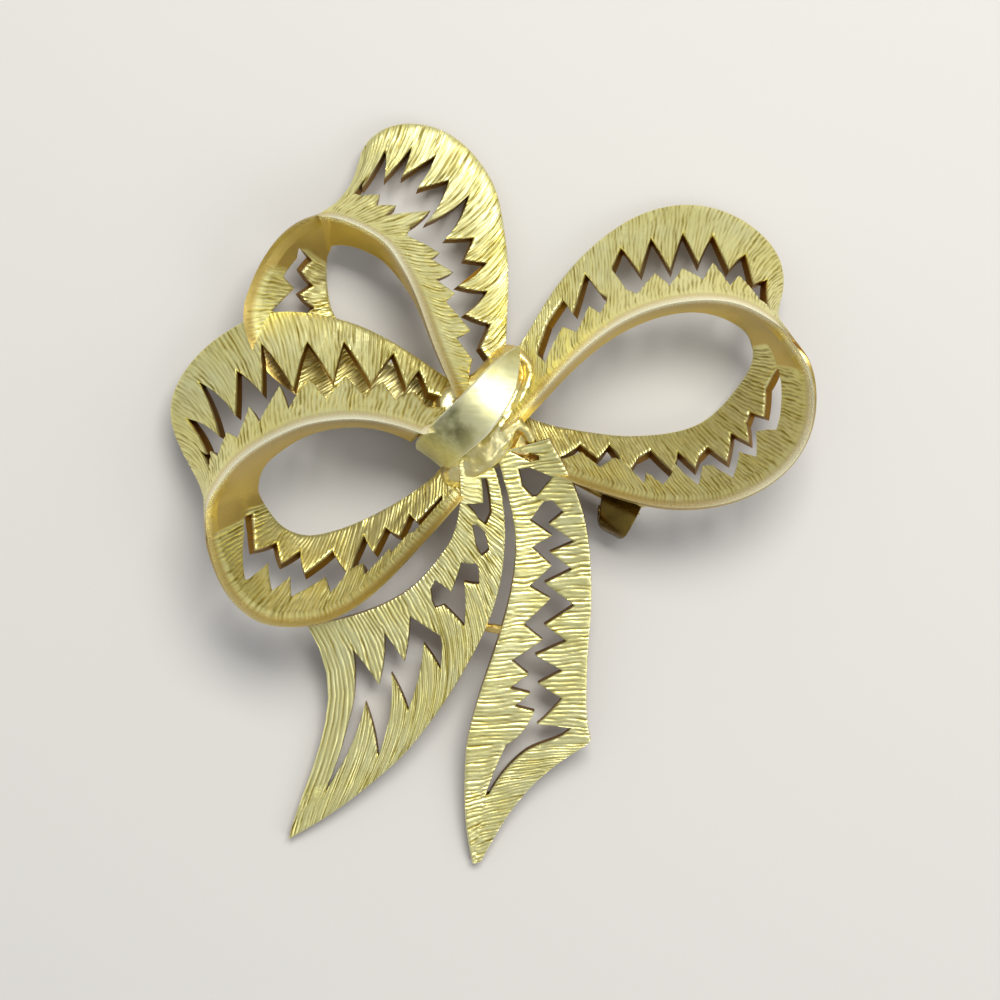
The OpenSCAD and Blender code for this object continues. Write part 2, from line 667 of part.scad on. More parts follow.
// Metal between the right loop's rim and the flat seat of the catch
module catch_pad() {
  hull() {
    pin_place()
      translate([pin_len - 0.55 * catch_w, leg_y - 0.1, leg_top + seat_gap])
        cube([catch_w, catch_t + 0.2, 0.3]);
    for (s = [17.9, 18.7])
      translate(middle(loops[0][0], -1, s, 0.12)[0])
        sphere(r = 0.35, $fn = 10);
  }
}

// Room for the knot band, with a gap all round
module band_room() {
  band_place()
    intersection() {
      rotate([90, 0, 0])
        linear_extrude(height = 2 * band_w, center = true)
          difference() {
            circle(r = band_r + band_gap, $fn = 64);
            circle(r = band_r - band_t - band_gap, $fn = 64);
          }
      translate([0, 0, -1.4 - band_gap])
        linear_extrude(height = 2 * band_r)
          offset(delta = band_gap)
            band_outline();
    }
}

// Moves to the middle of the knot band's arch, with X along the band
module band_place() {
  translate([-0.05, 1, band_z])
    rotate([0, 0, 180 + band_turn])
      children();
}

// Moves to the hinge, with X along the pin and the height kept
module pin_place() {
  translate([hinge_x, hinge_y, 0])
    rotate([0, 0, pin_turn])
      children();
}

module band_outline() {
  polygon(concat(
    [for (r = band_rows) [r[0] * band_r, r[1] * band_w] / 100],
    [for (i = [len(band_rows) - 1:-1:0]) [band_rows[i][0] * band_r, band_rows[i][2] * band_w] / 100]
  ));
}

// The smooth knot band: an arched strap with a leaf-shaped outline
module knot_band() {
  color("gold")
    translate(knot)
      band_place()
        intersection() {
          rotate([90, 0, 0])
            difference() {
              cylinder(r = band_r, h = 2 * band_w, center = true, $fn = 96);
              cylinder(r = band_r - band_t, h = 3 * band_w, center = true, $fn = 96);
            }
          translate([0, 0, -1.4])
            linear_extrude(height = 2 * band_r)
              band_outline();
        }
}

// The hinge bracket: a base plate and two ears with bores for the rivet
module hinge_bracket() {
  color("goldenrod")
    translate(knot)
      pin_place() {
        difference() {
          union() {
            translate([-1.4, -ear_out, base_z])
              cube([2.8, 2 * ear_out, base_t]);
            for (side = [-1, 1])
              ear(side);
          }
          translate([0, 0, pin_z])
            rotate([90, 0, 0])
              cylinder(r = rivet_r + bore_gap, h = 3 * ear_out, center = true, $fn = 48);
        }
      }
}

module ear(side) {
  translate([0, side * (ear_in + ear_t / 2), 0]) {
    translate([0, 0, pin_z])
      rotate([90, 0, 0])
        cylinder(r = eye_r, h = ear_t, center = true, $fn = 48);
    translate([-eye_r, -ear_t / 2, pin_z])
      cube([2 * eye_r, ear_t, base_z - pin_z + base_t / 2]);
  }
}

// The rivet, with a head outside each ear
module hinge_rivet() {
  color("darkgoldenrod")
    translate(knot)
      pin_place()
        translate([0, 0, pin_z])
          rotate([90, 0, 0]) {
            cylinder(r = rivet_r, h = 2 * ear_out + 0.4, center = true, $fn = 48);
            for (side = [-1, 1])
              translate([0, 0, side * (ear_out + seat_gap + 0.15)])
                cylinder(r = 0.7, h = 0.3, center = true, $fn = 48);
          }
}

// The pin: an eye round the rivet, a straight stem and a ground point
module pin_stem() {
  shaft = pin_len + pin_over - point_len;
  color("silver")
    translate(knot)
      pin_place()
        translate([0, 0, pin_z]) {
          difference() {
            union() {
              rotate([90, 0, 0])
                cylinder(r = eye_r, h = eye_w, center = true, $fn = 48);
              rotate([0, 90, 0])
                cylinder(r = pin_r, h = shaft, $fn = 32);
            }
            rotate([90, 0, 0])
              cylinder(r = rivet_r + bore_gap, h = 2 * eye_w, center = true, $fn = 48);
          }
          translate([shaft, 0, 0])
            rotate([0, 90, 0])
              cylinder(r1 = pin_r, r2 = 0.06, h = point_len, $fn = 32);
        }
}

// The catch: a tapered strip that comes down from the rim and curls round the pin, open below it
module catch_hook() {
  color("goldenrod")
    translate(knot)
      pin_place()
        translate([pin_len, 0, 0])
          intersection() {
            rotate([90, 0, 90])
              linear_extrude(height = 2 * catch_w, center = true)
                catch_profile();
            linear_extrude(height = 2 * leg_top)
              polygon([for (p = catch_outline) [p[0] * catch_w / 100, curl_y + p[1] * catch_r / 100]]);
          }
}

module catch_profile() {
  translate([leg_y, curl_z])
    square([catch_t, leg_top - curl_z]);
  translate([curl_y, curl_z])
    difference() {
      circle(r = catch_r, $fn = 96);
      circle(r = catch_r - catch_t, $fn = 96);
      polygon([[0, 0], [3, 0], [3, -3], [-0.3, -3]]);
    }
}

bow();
knot_band();
hinge_bracket();
hinge_rivet();
pin_stem();
catch_hook();  // catch
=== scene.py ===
# %% [markdown]
# # A gilt bow brooch
#
# The brooch is one casting: three ribbon loops and two ribbon tails that meet in a fused
# mass of metal, with a smooth strap over the waist and a hinged pin behind. The ribbons are
# sawn through in jagged rows of teeth and cut all over with fine strokes of a graver. The
# outer skin is thin gold over brass.
#
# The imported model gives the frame: its size, its place and what moves. This lesson dresses
# it. Lengths are in millimetres until the last step of each piece, where they turn to metres.

# %% Load the frame
import json
import math

import bmesh
import bpy
import numpy as np
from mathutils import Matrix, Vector, noise


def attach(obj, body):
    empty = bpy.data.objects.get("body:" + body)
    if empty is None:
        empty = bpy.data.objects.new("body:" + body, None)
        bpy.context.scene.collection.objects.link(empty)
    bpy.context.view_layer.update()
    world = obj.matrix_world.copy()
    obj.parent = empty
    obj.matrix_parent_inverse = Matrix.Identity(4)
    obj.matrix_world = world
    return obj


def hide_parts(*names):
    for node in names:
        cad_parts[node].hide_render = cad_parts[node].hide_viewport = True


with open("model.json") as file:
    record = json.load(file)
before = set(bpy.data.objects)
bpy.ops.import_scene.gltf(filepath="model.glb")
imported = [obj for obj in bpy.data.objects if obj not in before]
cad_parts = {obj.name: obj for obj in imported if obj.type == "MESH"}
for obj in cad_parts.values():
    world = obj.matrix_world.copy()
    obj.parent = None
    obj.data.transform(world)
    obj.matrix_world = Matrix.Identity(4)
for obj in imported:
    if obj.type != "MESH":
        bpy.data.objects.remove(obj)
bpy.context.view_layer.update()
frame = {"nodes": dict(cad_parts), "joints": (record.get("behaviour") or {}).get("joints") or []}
MM = 0.001
UP = np.array([0, 0, 1])

# %% [markdown]
# ## The ribbon tables
#
# A folded ribbon is a ruled sheet: each ruling is a straight line from its rim to its edge,
# and the rulings follow each other along the rim. The brooch could be sculpted by hand, but
# then nothing would keep it true to the solids. So the tables are the same as those of the
# solids. A row places one ruling, and the sizes stretch all rows together.

# %% Sizes of the ribbons
ribbon_w = 9.6   # the ribbon's width, the unit of the offsets below
wall = 1.1       # thickness of the cast ribbon
crown = 0.5      # width of the smooth crown on each rim
hollow = 4       # hollow across a band, in percent of its width
lip = 0.25       # depth of the rim's outer side where the ribbon has no outer band
tail_height = 7
right_size = (29, 18, 8.6)       # reach, rise and height of the right loop's rim
left_size = (23, 18.5, 10.4)
upper_size = (20, 17, 7.2)
left_tail_size = (17, 38, tail_height)
right_tail_size = (10, 40, tail_height)

# %% The rows of the five ribbons
# Right loop. Rim places are shares of reach, rise and height.
# In, out and their drops are offsets from the rim in shares of the ribbon width.
# Columns: rim_x, rim_y, rim_h, in_x, in_y, in_drop, out_x, out_y, out_drop, out_bow.
# A bow of nought is left out, and so is the outer band where the rim has only a lip.
right_rows = [
  [7.5, -7.5, 84, 5, -3, 12, 5, 52, 30],
  [14, 1, 88, 3, -2, 14, 3, 60, 38],
  [25, 22, 93, 3, -4, 17, -2, 74, 54],
  [37.5, 40, 97, 2, -5, 19, -1, 84, 67],
  [50, 50.5, 99, 3, -5, 21, 5, 94, 78],
  [63, 55, 100, 2, -5, 23, 13, 94, 83, 2],
  [73, 54.5, 100, -2, -8, 27, 26, 81, 82, 5],
  [80, 51.5, 100, -6, -9, 35, 37, 56, 76, 5],
  [85.5, 46.5, 100, -10, -6, 46, 24, 32, 57, 3],
  [90.5, 40, 100, -17, -2, 56, -10, 11, 27],
  [94.5, 31, 100, -25, 2, 63],
  [98.5, 20.5, 100, -37, 10, 69],
  [99.5, 7, 100, -47, 21, 73],
  [98.5, -7.5, 100, -55, 34, 75],
  [94, -22, 100, -56, 44, 75],
  [86, -33.5, 100, -50, 51, 73],
  [76, -41, 100, -45, 57, 71],
  [65.5, -44, 99, -39, 60, 67],
  [55, -43.5, 97, -33, 58, 59],
  [44.5, -39.5, 92, -28, 54, 49],
  [34.5, -33.5, 84, -24, 47, 37],
  [26, -28, 74, -21, 42, 26],
  [18.5, -22.5, 67, -18, 41, 18],
  [12, -16.5, 62, -13, 41, 10]
]

# Left loop, with the same columns
left_rows = [
  [-12.5, -13, 85, -4, -10, 15, 29, 36, 33],
  [-27, -4.5, 91, -5, -4, 19, 20, 51, 45],
  [-43.5, -0.5, 96, -3, -5, 23, 1, 82, 54, -2],
  [-60.5, -3, 99, 1, -6, 29, -21, 99, 64, -4],
  [-69, -7, 100, 2, -7, 33, -30.5, 103.5, 70, -5],
  [-77, -12, 100, 5, -8, 39, -41.5, 99.5, 75, -7],
  [-84.5, -18, 100, 10, -6, 46, -51, 90.5, 79, -9],
  [-90.5, -25, 100, 17, -4, 54, -59, 74, 81, -9],
  [-94.5, -32.5, 99, 24, 0, 60, -53, 58, 76, -8],
  [-98, -40, 98, 31, 6, 66, -27, 40, 60, -5],
  [-98.5, -48, 97, 36, 12, 69, -1, 20, 34],
  [-98, -56, 96, 39, 21, 71],
  [-96.5, -64.5, 95, 41, 29, 72],
  [-94, -74, 94, 42, 39, 72],
  [-90, -83.5, 93, 42, 51, 71],
  [-83.5, -92, 92, 39, 63, 69],
  [-75, -97, 91, 35, 72, 67],
  [-56, -96.5, 89, 23, 81, 59],
  [-38.5, -82.5, 86, 15, 71, 50],
  [-22.5, -61, 76, 7, 48, 33],
  [-8.5, -41, 62, -2, 32, 17],
  [-3, -33, 54, -5, 31, 8]
]

# Upper loop, with the same columns
upper_rows = [
  [-5.5, 8.5, 100, 0, -1, 15, 35, 18, 27, -6],
  [-16, 35.5, 97, -1, -1, 17, 60, 24, 38, -15],
  [-23, 61.5, 94, -2, -2, 19, 77, 31, 48, -19],
  [-33.5, 82, 92, -5, -8, 19, 91, 47, 57, -19],
  [-39.5, 89.5, 90, -5, -11, 20, 97, 62, 60, -17],
  [-51.5, 97.5, 89, -4, -14, 24, 84, 95, 61, -12],
  [-60.5, 100.5, 88, -3, -18, 31, 48, 95.5, 58, -8],
  [-63, 101, 87, -2, -20, 34, 30, 71, 47, -5],
  [-65, 100.5, 86, 0, -22, 37, 27, 38, 34, -2],
  [-67.5, 100, 85, 2, -24, 39, 17, 5, 16],
  [-72, 98, 84, 9, -25, 41],
  [-80.5, 93, 82, 26, -20, 43],
  [-90.5, 80, 78, 46, -13, 45],
  [-97.5, 59, 69, 64, 0, 40],
  [-99, 47.5, 64, 72, 9, 35],
  [-95.5, 33.5, 59, 73, 21, 30],
  [-86, 19, 58, 67, 33, 25],
  [-68.5, 6.5, 59, 54, 40, 20],
  [-46.5, -3, 64, 40, 39, 17],
  [-21.5, -9.5, 69, 27, 34, 15]
]

# Left tail, upper edge to lower edge, in shares of reach, drop and height.
# Columns: near_x, near_y, near_h, far_x, far_y, far_h, near_bow, far_bow
left_tail_rows = [
  [-9, 11, 100, 5.5, 8.5, 90],
  [-8, 15, 97, 11.5, 15, 84],
  [-7.5, 18.5, 92, 14.5, 22.5, 76],
  [-8, 21.5, 86, 15, 30, 69],
  [-9, 25, 79, 13, 38.5, 62, 2, 2],
  [-12, 29, 72, 8, 46.5, 56, 4, 4],
  [-17, 32, 66, 0.5, 54, 50, 7, 7],
  [-23.5, 36, 60, -9.5, 62, 44, 10, 10],
  [-32.5, 40, 56, -22, 70.5, 39, 15, 15],
  [-43, 43, 53, -36.5, 79, 31, 19, 19],
  [-55.5, 45.5, 50, -54.5, 86, 24, 23, 23],
  [-70.5, 47.5, 47, -75.5, 93.5, 16, 31, 20],
  [-87, 49, 46, -98.5, 99.5, 8, 37, 7]
]

# Right tail, left edge to right edge, with the same columns
right_tail_rows = [
  [19, 8.5, 91, 63.5, 5.5, 102],
  [24.5, 13.5, 89, 79, 12, 100],
  [30.5, 19, 86, 89, 17.5, 93],
  [35.5, 25.5, 81, 96, 23.5, 83],
  [35.5, 32, 77, 99.5, 30, 74],
  [31.5, 38.5, 71, 101, 37, 66],
  [25, 45, 66, 101, 43.5, 58],
  [17, 51.5, 59, 98.5, 50, 53],
  [7, 58.5, 51, 97.5, 57, 47],
  [-1.5, 65.5, 43, 97, 65, 44],
  [-6.5, 71, 37, 99.5, 70.5, 41],
  [-8, 73, 35, 103, 72, 40],
  [-9, 76, 32, 93, 73.5, 38],
  [-10, 83, 24, 60, 79, 30],
  [-9.5, 91.5, 16, 28.5, 88, 19],
  [-3, 100, 8, 4, 99.5, 8]
]

# Zigzag cuts. Each cut lists its rim side, then its other side.
# Columns: at (row number), across (percent of the way from the rim)
right_outer_cuts = [
  [
    [[1.4, 50], [1.65, 20], [1.85, 32], [2.1, 43], [2.45, 15], [2.75, 35], [3, 14], [3.15, 24]],
    [[1.4, 56], [1.7, 75], [2.15, 77], [2.35, 47], [2.7, 79], [3, 41], [3.15, 30]]
  ],
  [
    [[3.3, 57], [3.6, 24], [3.85, 12], [4, 19], [4.25, 30], [4.6, 10], [4.9, 29], [5.45, 14],
      [5.7, 38], [6.3, 11], [6.55, 32], [7.6, 10], [8.2, 13]],
    [[3.3, 62], [3.5, 77], [3.9, 37], [4.15, 72], [4.6, 30], [4.85, 71], [5.3, 35], [5.55, 72],
      [6.2, 35], [6.5, 67], [7.15, 33], [7.5, 63], [8.2, 18]]
  ]
]
right_inner_cuts = [
  [
    [[11.1, 48], [13.5, 27], [13.65, 38], [13.9, 48], [14.6, 24], [14.8, 43], [15.6, 15],
      [15.75, 43], [16, 47], [16.6, 18], [16.75, 50]],
    [[11.1, 54], [11.5, 62], [12.2, 67], [13.3, 52], [13.4, 70], [13.8, 66], [14.35, 46],
      [14.45, 70], [14.8, 59], [15.3, 42], [15.4, 70], [15.85, 62], [16.25, 47], [16.35, 75],
      [16.6, 62], [16.75, 56]]
  ],
  [
    [[17, 44], [17.6, 22], [17.85, 43], [18.2, 20], [18.3, 42]],
    [[17, 48], [17.2, 80], [17.75, 70], [18.3, 47]]
  ],
  [
    [[18.45, 60], [18.7, 61], [19.4, 33], [19.8, 56], [20.8, 18]],
    [[18.45, 66], [18.55, 86], [19.25, 54], [19.65, 75], [20.8, 24]]
  ]
]
left_outer_cuts = [
  [
    [[0.25, 58], [0.65, 35], [1, 49], [1.3, 23], [1.6, 43], [1.9, 16], [2.3, 38], [2.7, 11],
      [3.1, 35], [3.9, 9], [4.15, 34], [5.2, 11], [5.5, 30], [6.25, 10], [6.7, 24], [7.5, 14],
      [7.8, 30], [8.4, 18]],
    [[0.25, 74], [0.75, 62], [1.05, 86], [1.15, 50], [1.5, 88], [1.8, 35], [2.3, 78], [2.55, 32],
      [3, 72], [3.65, 27], [4.35, 78], [4.9, 35], [5.45, 67], [6.15, 32], [6.55, 84], [7.1, 29],
      [7.7, 80], [8.15, 38], [8.3, 55], [8.4, 24]]
  ]
]
left_inner_cuts = [
  [
    [[10.9, 58], [12, 47], [14, 14], [14.1, 18], [14.3, 52], [15.3, 25], [15.65, 48], [16.05, 23],
      [16.7, 44], [17, 20], [17.2, 36]],
    [[10.9, 76], [12.15, 66], [13.25, 52], [13.85, 80], [14.9, 61], [15.4, 82], [16.05, 54],
      [16.6, 77], [17.2, 42]]
  ],
  [
    [[17.3, 43], [17.6, 41], [17.75, 19], [18.3, 30], [18.4, 18], [18.8, 23], [19, 10], [19.8, 14]],
    [[17.3, 60], [17.4, 81], [17.8, 49], [18, 75], [18.5, 41], [18.7, 67], [19, 33], [19.8, 30]]
  ]
]
upper_outer_cuts = [
  [
    [[0.25, 6], [0.75, 30], [1.2, 15], [1.35, 37], [1.95, 16], [2.15, 29], [2.45, 15], [2.6, 35],
      [3, 20], [3.15, 30], [3.95, 13], [4.25, 22], [4.4, 44], [4.85, 15], [4.95, 28], [5.3, 19],
      [5.5, 30], [6, 24], [6.5, 26]],
    [[0.25, 25], [0.5, 65], [0.95, 48], [1.3, 68], [1.7, 35], [1.95, 68], [2.3, 35], [2.45, 73],
      [2.8, 51], [3.15, 66], [3.55, 41], [4.1, 78], [4.2, 34], [4.6, 73], [4.95, 51], [5.05, 82],
      [5.4, 53], [5.55, 81], [5.75, 47], [6.15, 78], [6.3, 36], [6.4, 50], [6.5, 32]]
  ]
]
upper_inner_cuts = [
  [
    [[11.2, 22], [11.6, 32], [12.3, 23], [12.6, 46], [13.5, 18], [13.9, 40]],
    [[11.2, 40], [11.4, 67], [12, 54], [12.4, 78], [12.8, 58], [13.4, 78], [13.9, 60]]
  ]
]
left_tail_cuts = [
  [
    [[0.95, 56], [1.95, 52], [2.4, 12], [2.6, 30], [2.8, 44]],
    [[0.95, 72], [2.2, 71], [2.8, 58]]
  ],
  [
    [[3.1, 38], [3.3, 28], [4, 40], [4.1, 46]],
    [[3.1, 55], [3.6, 68], [4.1, 54]]
  ],
  [
    [[4.6, 46], [5.3, 24], [6.6, 29], [7, 9], [7.4, 11], [7.6, 18]],
    [[4.6, 52], [5, 61], [5.75, 38], [6.5, 65], [7.2, 29], [7.6, 24]]
  ],
  [
    [[7.8, 43], [8.7, 14], [9.5, 35], [9.85, 14], [10.5, 38], [11.05, 15], [11.2, 28], [11.4, 52],
      [11.45, 78]],
    [[7.8, 50], [8, 65], [8.6, 35], [9.45, 66], [10.05, 36], [10.2, 82], [10.95, 43], [11.2, 66],
      [11.45, 84]]
  ]
]
right_tail_cuts = [
  [
    [[0.1, 26], [0.6, 50]],
    [[0.1, 40], [0.45, 70], [0.6, 66]]
  ],
  [
    [[0.8, 27], [1.45, 24], [1.9, 34]],
    [[0.8, 45], [1.25, 75], [1.9, 40]]
  ],
  [
    [[2.1, 49], [2.7, 23], [3.3, 51], [3.6, 22], [4.3, 49], [4.9, 22], [5.4, 51], [6.2, 24],
      [6.8, 50], [7.4, 22], [7.9, 43], [8.3, 27], [8.5, 48], [8.9, 35], [9.1, 54], [11.2, 32],
      [13.3, 30]],
    [[2.1, 62], [2.55, 73], [2.9, 49], [3.6, 81], [3.85, 47], [4.5, 76], [4.85, 42], [5.7, 81],
      [6.3, 49], [6.9, 77], [7.3, 46], [7.85, 76], [8.2, 54], [8.7, 78], [9.6, 57], [9.8, 86],
      [11.7, 53], [13.3, 35]]
  ]
]

# Outline of the knot band seen from the front.
# Columns: along (share of the arch radius), left and right (shares of the width)
band_rows = [
  [-100, 0, 2],
  [-75, -10, 31],
  [-45, -19, 57],
  [-13, -22, 65],
  [27, -30, 66],
  [48, -35, 60],
  [81, -45, 47],
  [94, -47, 45.5],
  [108, -30, 36]
]

# Lumps of the fused metal under the knot band.
# Columns: x and y from the knot's centre, height, radius
core_rows = [
  [2.9, 4.6, 4.8, 1.6],
  [2.7, 1.9, 5.6, 1.7],
  [2.3, -1.1, 6, 2],
  [0.9, -3.2, 6, 1.9],
  [-1.5, -5.1, 5.6, 1.6],
  [-2.5, -1.4, 6, 1.8],
  [-2.3, 1.2, 5.8, 1.8],
  [0.4, 2.4, 5.8, 1.8]
]
# Pairs of lumps that are joined, as places in the lump table
core_links = [[0, 1], [1, 2], [2, 3], [3, 4], [3, 5], [5, 6], [6, 7], [7, 0], [7, 2]]

# %% [markdown]
# ## Curves, bands and cuts
#
# A smooth curve runs near the rows of a table, the uniform cubic B-spline. It never swings
# past its rows as an interpolating curve does, so the ribbon has no waves between two rows.
# A band has a rim curve, an edge curve and a sideways bow. Its front normal comes from the
# rulings, and the sheet sags a little between rim and edge, as bent sheet metal does.

# %% A smooth curve, and the two curves of a band
def curve(rows, s):
    p = np.asarray(rows, float)
    p = np.vstack([2 * p[0] - p[1], p, 2 * p[-1] - p[-2]])
    s = np.asarray(s, float)
    i = np.clip(np.floor(s).astype(int), 0, len(p) - 4)
    t = (s - i)[:, None]
    return ((1 - t) ** 3 * p[i] + (3 * t ** 3 - 6 * t * t + 4) * p[i + 1]
            + (3 * t * t - 3 * t ** 3 + 3 * t + 1) * p[i + 2] + t ** 3 * p[i + 3]) / 6


def unit(v):
    return v / np.maximum(np.linalg.norm(v, axis=-1, keepdims=True), 1e-9)


def loop_bands(rows, size):
    """The inner and the outer band of a loop, as (rim, edge, bow)."""
    rim = np.array([r[:3] for r in rows]) * size / 100
    inner = np.array([[r[3], r[4], -r[5]] for r in rows]) * ribbon_w / 100
    outer = np.array([
        np.array([r[6], r[7], -r[8]]) * ribbon_w / 100 if len(r) > 6
        else np.array([0.0, 0.0, -lip])
        for r in rows])
    bow = np.array([[r[9] if len(r) > 9 else 0.0] * 2 for r in rows]) * ribbon_w / 100
    return (rim, rim + inner, bow * 0), (rim, rim + outer, bow)


def tail_band(rows, size):
    near = np.array([[r[0], -r[1], r[2]] for r in rows]) * size / 100
    far = np.array([[r[3], -r[4], r[5]] for r in rows]) * size / 100
    return near, far, np.array([(r + [0, 0])[6:8] for r in rows]) * ribbon_w / 100


def way(rows, s):
    last = len(rows) - 1
    return curve(rows, np.minimum(last, s + 0.1)) - curve(rows, np.maximum(0, s - 0.1))


def middle(band, turn, s, v):
    """The middle of the sheet and its front normal at rows s and shares v across."""
    v = np.broadcast_to(np.asarray(v, float), s.shape)[:, None]
    a, b = curve(band[0], s), curve(band[1], s)
    over = b - a
    normal = unit(np.cross(way(band[0], s) * (1 - v) + way(band[1], s) * v, over)) * turn
    side = unit(np.stack([-over[:, 1], over[:, 0], 0 * over[:, 0]], 1))
    swell = 4 * v * (1 - v)
    sag = np.linalg.norm(over, axis=1, keepdims=True) * hollow / 100
    bow = np.sum(curve(band[2], s) * np.hstack([1 - v, v]), 1, keepdims=True)
    return a * (1 - v) + b * v + side * bow * swell - normal * sag * swell, normal


# %% The two sides of the jagged cuts
def cut_sides(cuts, s):
    """Shares across at which the cuts begin and end, at rows s."""
    sides = []
    for k, start in ((0, 45), (1, 75)):
        corners = [[0, start]] + [p for cut in cuts for p in cut[k]]
        sides.append(np.interp(s, *np.transpose(corners)) / 100)
    return sides[0], np.maximum(sides[1], sides[0] + 0.04)


def is_open(cuts, s):
    return np.any([(s > cut[0][0][0]) & (s < cut[0][-1][0]) for cut in cuts], axis=0)


def stations(cuts, band, step):
    """Rows along a band: every corner of its cuts, and steps of about step mm between."""
    last = len(band[0]) - 1
    fine = np.linspace(0, last, 40 * last + 1)
    mid = (curve(band[0], fine) + curve(band[1], fine)) / 2
    run = np.maximum(
        np.linalg.norm(np.diff(mid, axis=0), axis=1),
        np.linalg.norm(np.diff(curve(band[1], fine), axis=0), axis=1) * 0.8)
    along = np.concatenate([[0], np.cumsum(run)])
    even = np.interp(np.arange(0, along[-1], step), along, fine)
    corners = np.array([p[0] for cut in cuts for side in cut for p in side])
    keep = np.min(np.abs(even[:, None] - corners[None]), axis=1) > 0.004
    return np.unique(np.round(np.concatenate([[0, last], corners, even[keep]]), 5))


# %% [markdown]
# ## The knot, and room for its strap
#
# The tables count from the knot, so its place in the frame comes first. The strap arches
# over the waist of the bow, and nothing of the bow may reach up into it. A boolean cut would
# do, but it leaves hard edges and breaks the even strips of the mesh. So a function presses
# points that lie too high back under the arch, and fades out softly beside the strap.

# %% Where the knot lies in the frame
# The solids put the knot so that the whole part is centred over its base. The centre of the
# pin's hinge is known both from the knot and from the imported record, and gives the shift.
hinge_from_knot = np.array([-0.4, -0.8, 2])
knot = np.array(frame["joints"][0]["pos_m"]) / MM - hinge_from_knot
print("knot in mm:", knot.round(3))

# %% Where the strap arches over the waist
# Radius of the arch, thickness and greatest width in mm, turn in degrees, height of the centre
BAND_R, BAND_T, BAND_W, BAND_TURN, BAND_Z = 6.4, 1.0, 4.2, 52.3, 4.5
BAND_ROOM, BAND_FEATHER = 0.15, 0.25     # gap under the strap, and how softly it begins, in mm
strap_turn = math.radians(180 + BAND_TURN)
strap_x = np.array([math.cos(strap_turn), math.sin(strap_turn), 0])
strap_y = np.array([-math.sin(strap_turn), math.cos(strap_turn), 0])
strap_at = np.array([-0.05, 1.0, BAND_Z]) + knot
strap_outline = np.array(band_rows, float) / 100 * [BAND_R, BAND_W, BAND_W]


def tuck_under_strap(points):
    """Presses whatever reaches up into the strap back under it, with soft edges."""
    d = points - strap_at
    x, y, z = d @ strap_x, d @ strap_y, d[:, 2]
    ends = [np.interp(x, strap_outline[:, 0], strap_outline[:, k]) for k in (1, 2)]
    low, high = np.minimum(*ends), np.maximum(*ends)
    inside = np.minimum(y - low, high - y)
    r = np.hypot(x, z)
    under = np.minimum(r, BAND_R - BAND_T - BAND_ROOM)
    share = np.clip(inside / BAND_FEATHER + 1, 0, 1) * (z > -1.2)
    share = share * np.clip((BAND_R + 1 - r) / 0.5, 0, 1)
    scale = (1 + (under / np.maximum(r, 0.1) - 1) * share)[:, None]
    return strap_at + (strap_x * x[:, None] + UP * z[:, None]) * scale + strap_y * y[:, None]

# %% [markdown]
# ## From sections to a mesh
#
# Each band is cut across at many rows, about 13 to the millimetre, because the graver's
# strokes are to be real furrows. A section is a row of points: along the front, round the
# edge and along the back. Points with the same number in two neighbouring sections are
# joined, apart from where a cut is open. There the two walls of the cut are closed instead.
# The points keep notes as attributes: how far along the ribbon they lie, how strong the
# strokes are there, and whether they carry a rim's pale colour, partly wear and partly a
# painted highlight, or the painted shade of a sawn wall or the back.

# %% One section of points, built up column by column
STEP = 0.078     # from one section to the next, in mm


class Sections:
    """Columns of points over the same rows. The columns become the strips of a mesh."""

    def __init__(self, rows):
        self.rows = rows
        self.points, self.notes = [], []

    def add(self, points, normal, along=0, strokes=0, polish=0, wall=0, across=0):
        n = len(self.rows)
        column = [np.broadcast_to(np.asarray(x, float), (n,)) for x in
                  (along, across, strokes, polish, wall)]
        self.points.append(points)
        self.notes.append(np.concatenate([np.stack(column, 1), normal], axis=1))
        return len(self.points) - 1


def place(name, data):
    """A new object for a mesh, a lamp or a camera, linked into the scene."""
    body = bpy.data.objects.new(name, data)
    bpy.context.scene.collection.objects.link(body)
    return body


def smooth(mesh, sharp_from):
    """Smooth shading, apart from edges that turn by more than sharp_from degrees."""
    mesh.shade_smooth()
    mesh.set_sharp_from_angle(angle=math.radians(sharp_from))


def run_along(points):
    """Lengths along a row of points, from its first."""
    return np.concatenate([[0], np.cumsum(np.linalg.norm(np.diff(points, axis=0), axis=1))])


def strip(faces, rows_open, a, b, count, turn):
    """Quads between the columns a and b, for the steps where rows_open is true."""
    i = np.nonzero(rows_open)[0]
    quad = np.stack([i * count + a, (i + 1) * count + a, (i + 1) * count + b, i * count + b], 1)
    faces.append(quad if turn > 0 else quad[:, ::-1])


def mesh_from(name, sections, faces, loose_faces):
    """A Blender object from the columns, the quads and some larger faces at the ends."""
    count = len(sections.points)
    points = tuck_under_strap(np.stack(sections.points, 1).reshape(-1, 3) + knot)
    notes = np.stack(sections.notes, 1).reshape(len(points), -1)
    quads = np.concatenate(faces)
    mesh = bpy.data.meshes.new(name)
    mesh.from_pydata((points * MM).tolist(), [], quads.tolist() + loose_faces)
    # the fourth note paints rims and edges pale, partly as wear and partly as a highlight; the fifth
    # paints shade on sawn walls, edges and backs
    for k, label in enumerate(("along", "across", "strokes", "polish", "sawn")):
        mesh.attributes.new(label, "FLOAT", "POINT").data.foreach_set(
            "value", np.ascontiguousarray(notes[:, k], np.float32))
    mesh.attributes.new("front_dir", "FLOAT_VECTOR", "POINT").data.foreach_set(
        "vector", np.ascontiguousarray(notes[:, 5:8], np.float32).ravel())
    mesh.validate()
    print(f"{name}: {len(sections.rows)} sections of {count} points, {len(mesh.polygons)} faces")
    return place(name, mesh)


# %% The front of one band, from its cut outwards
SPREAD = (0.12, 0.27, 0.42, 0.58, 0.73, 0.88)     # where the inner columns lie
ROUND, SINK_EDGE = 0.1, 0.07     # width and depth of the rounding along a cut or an edge, in mm


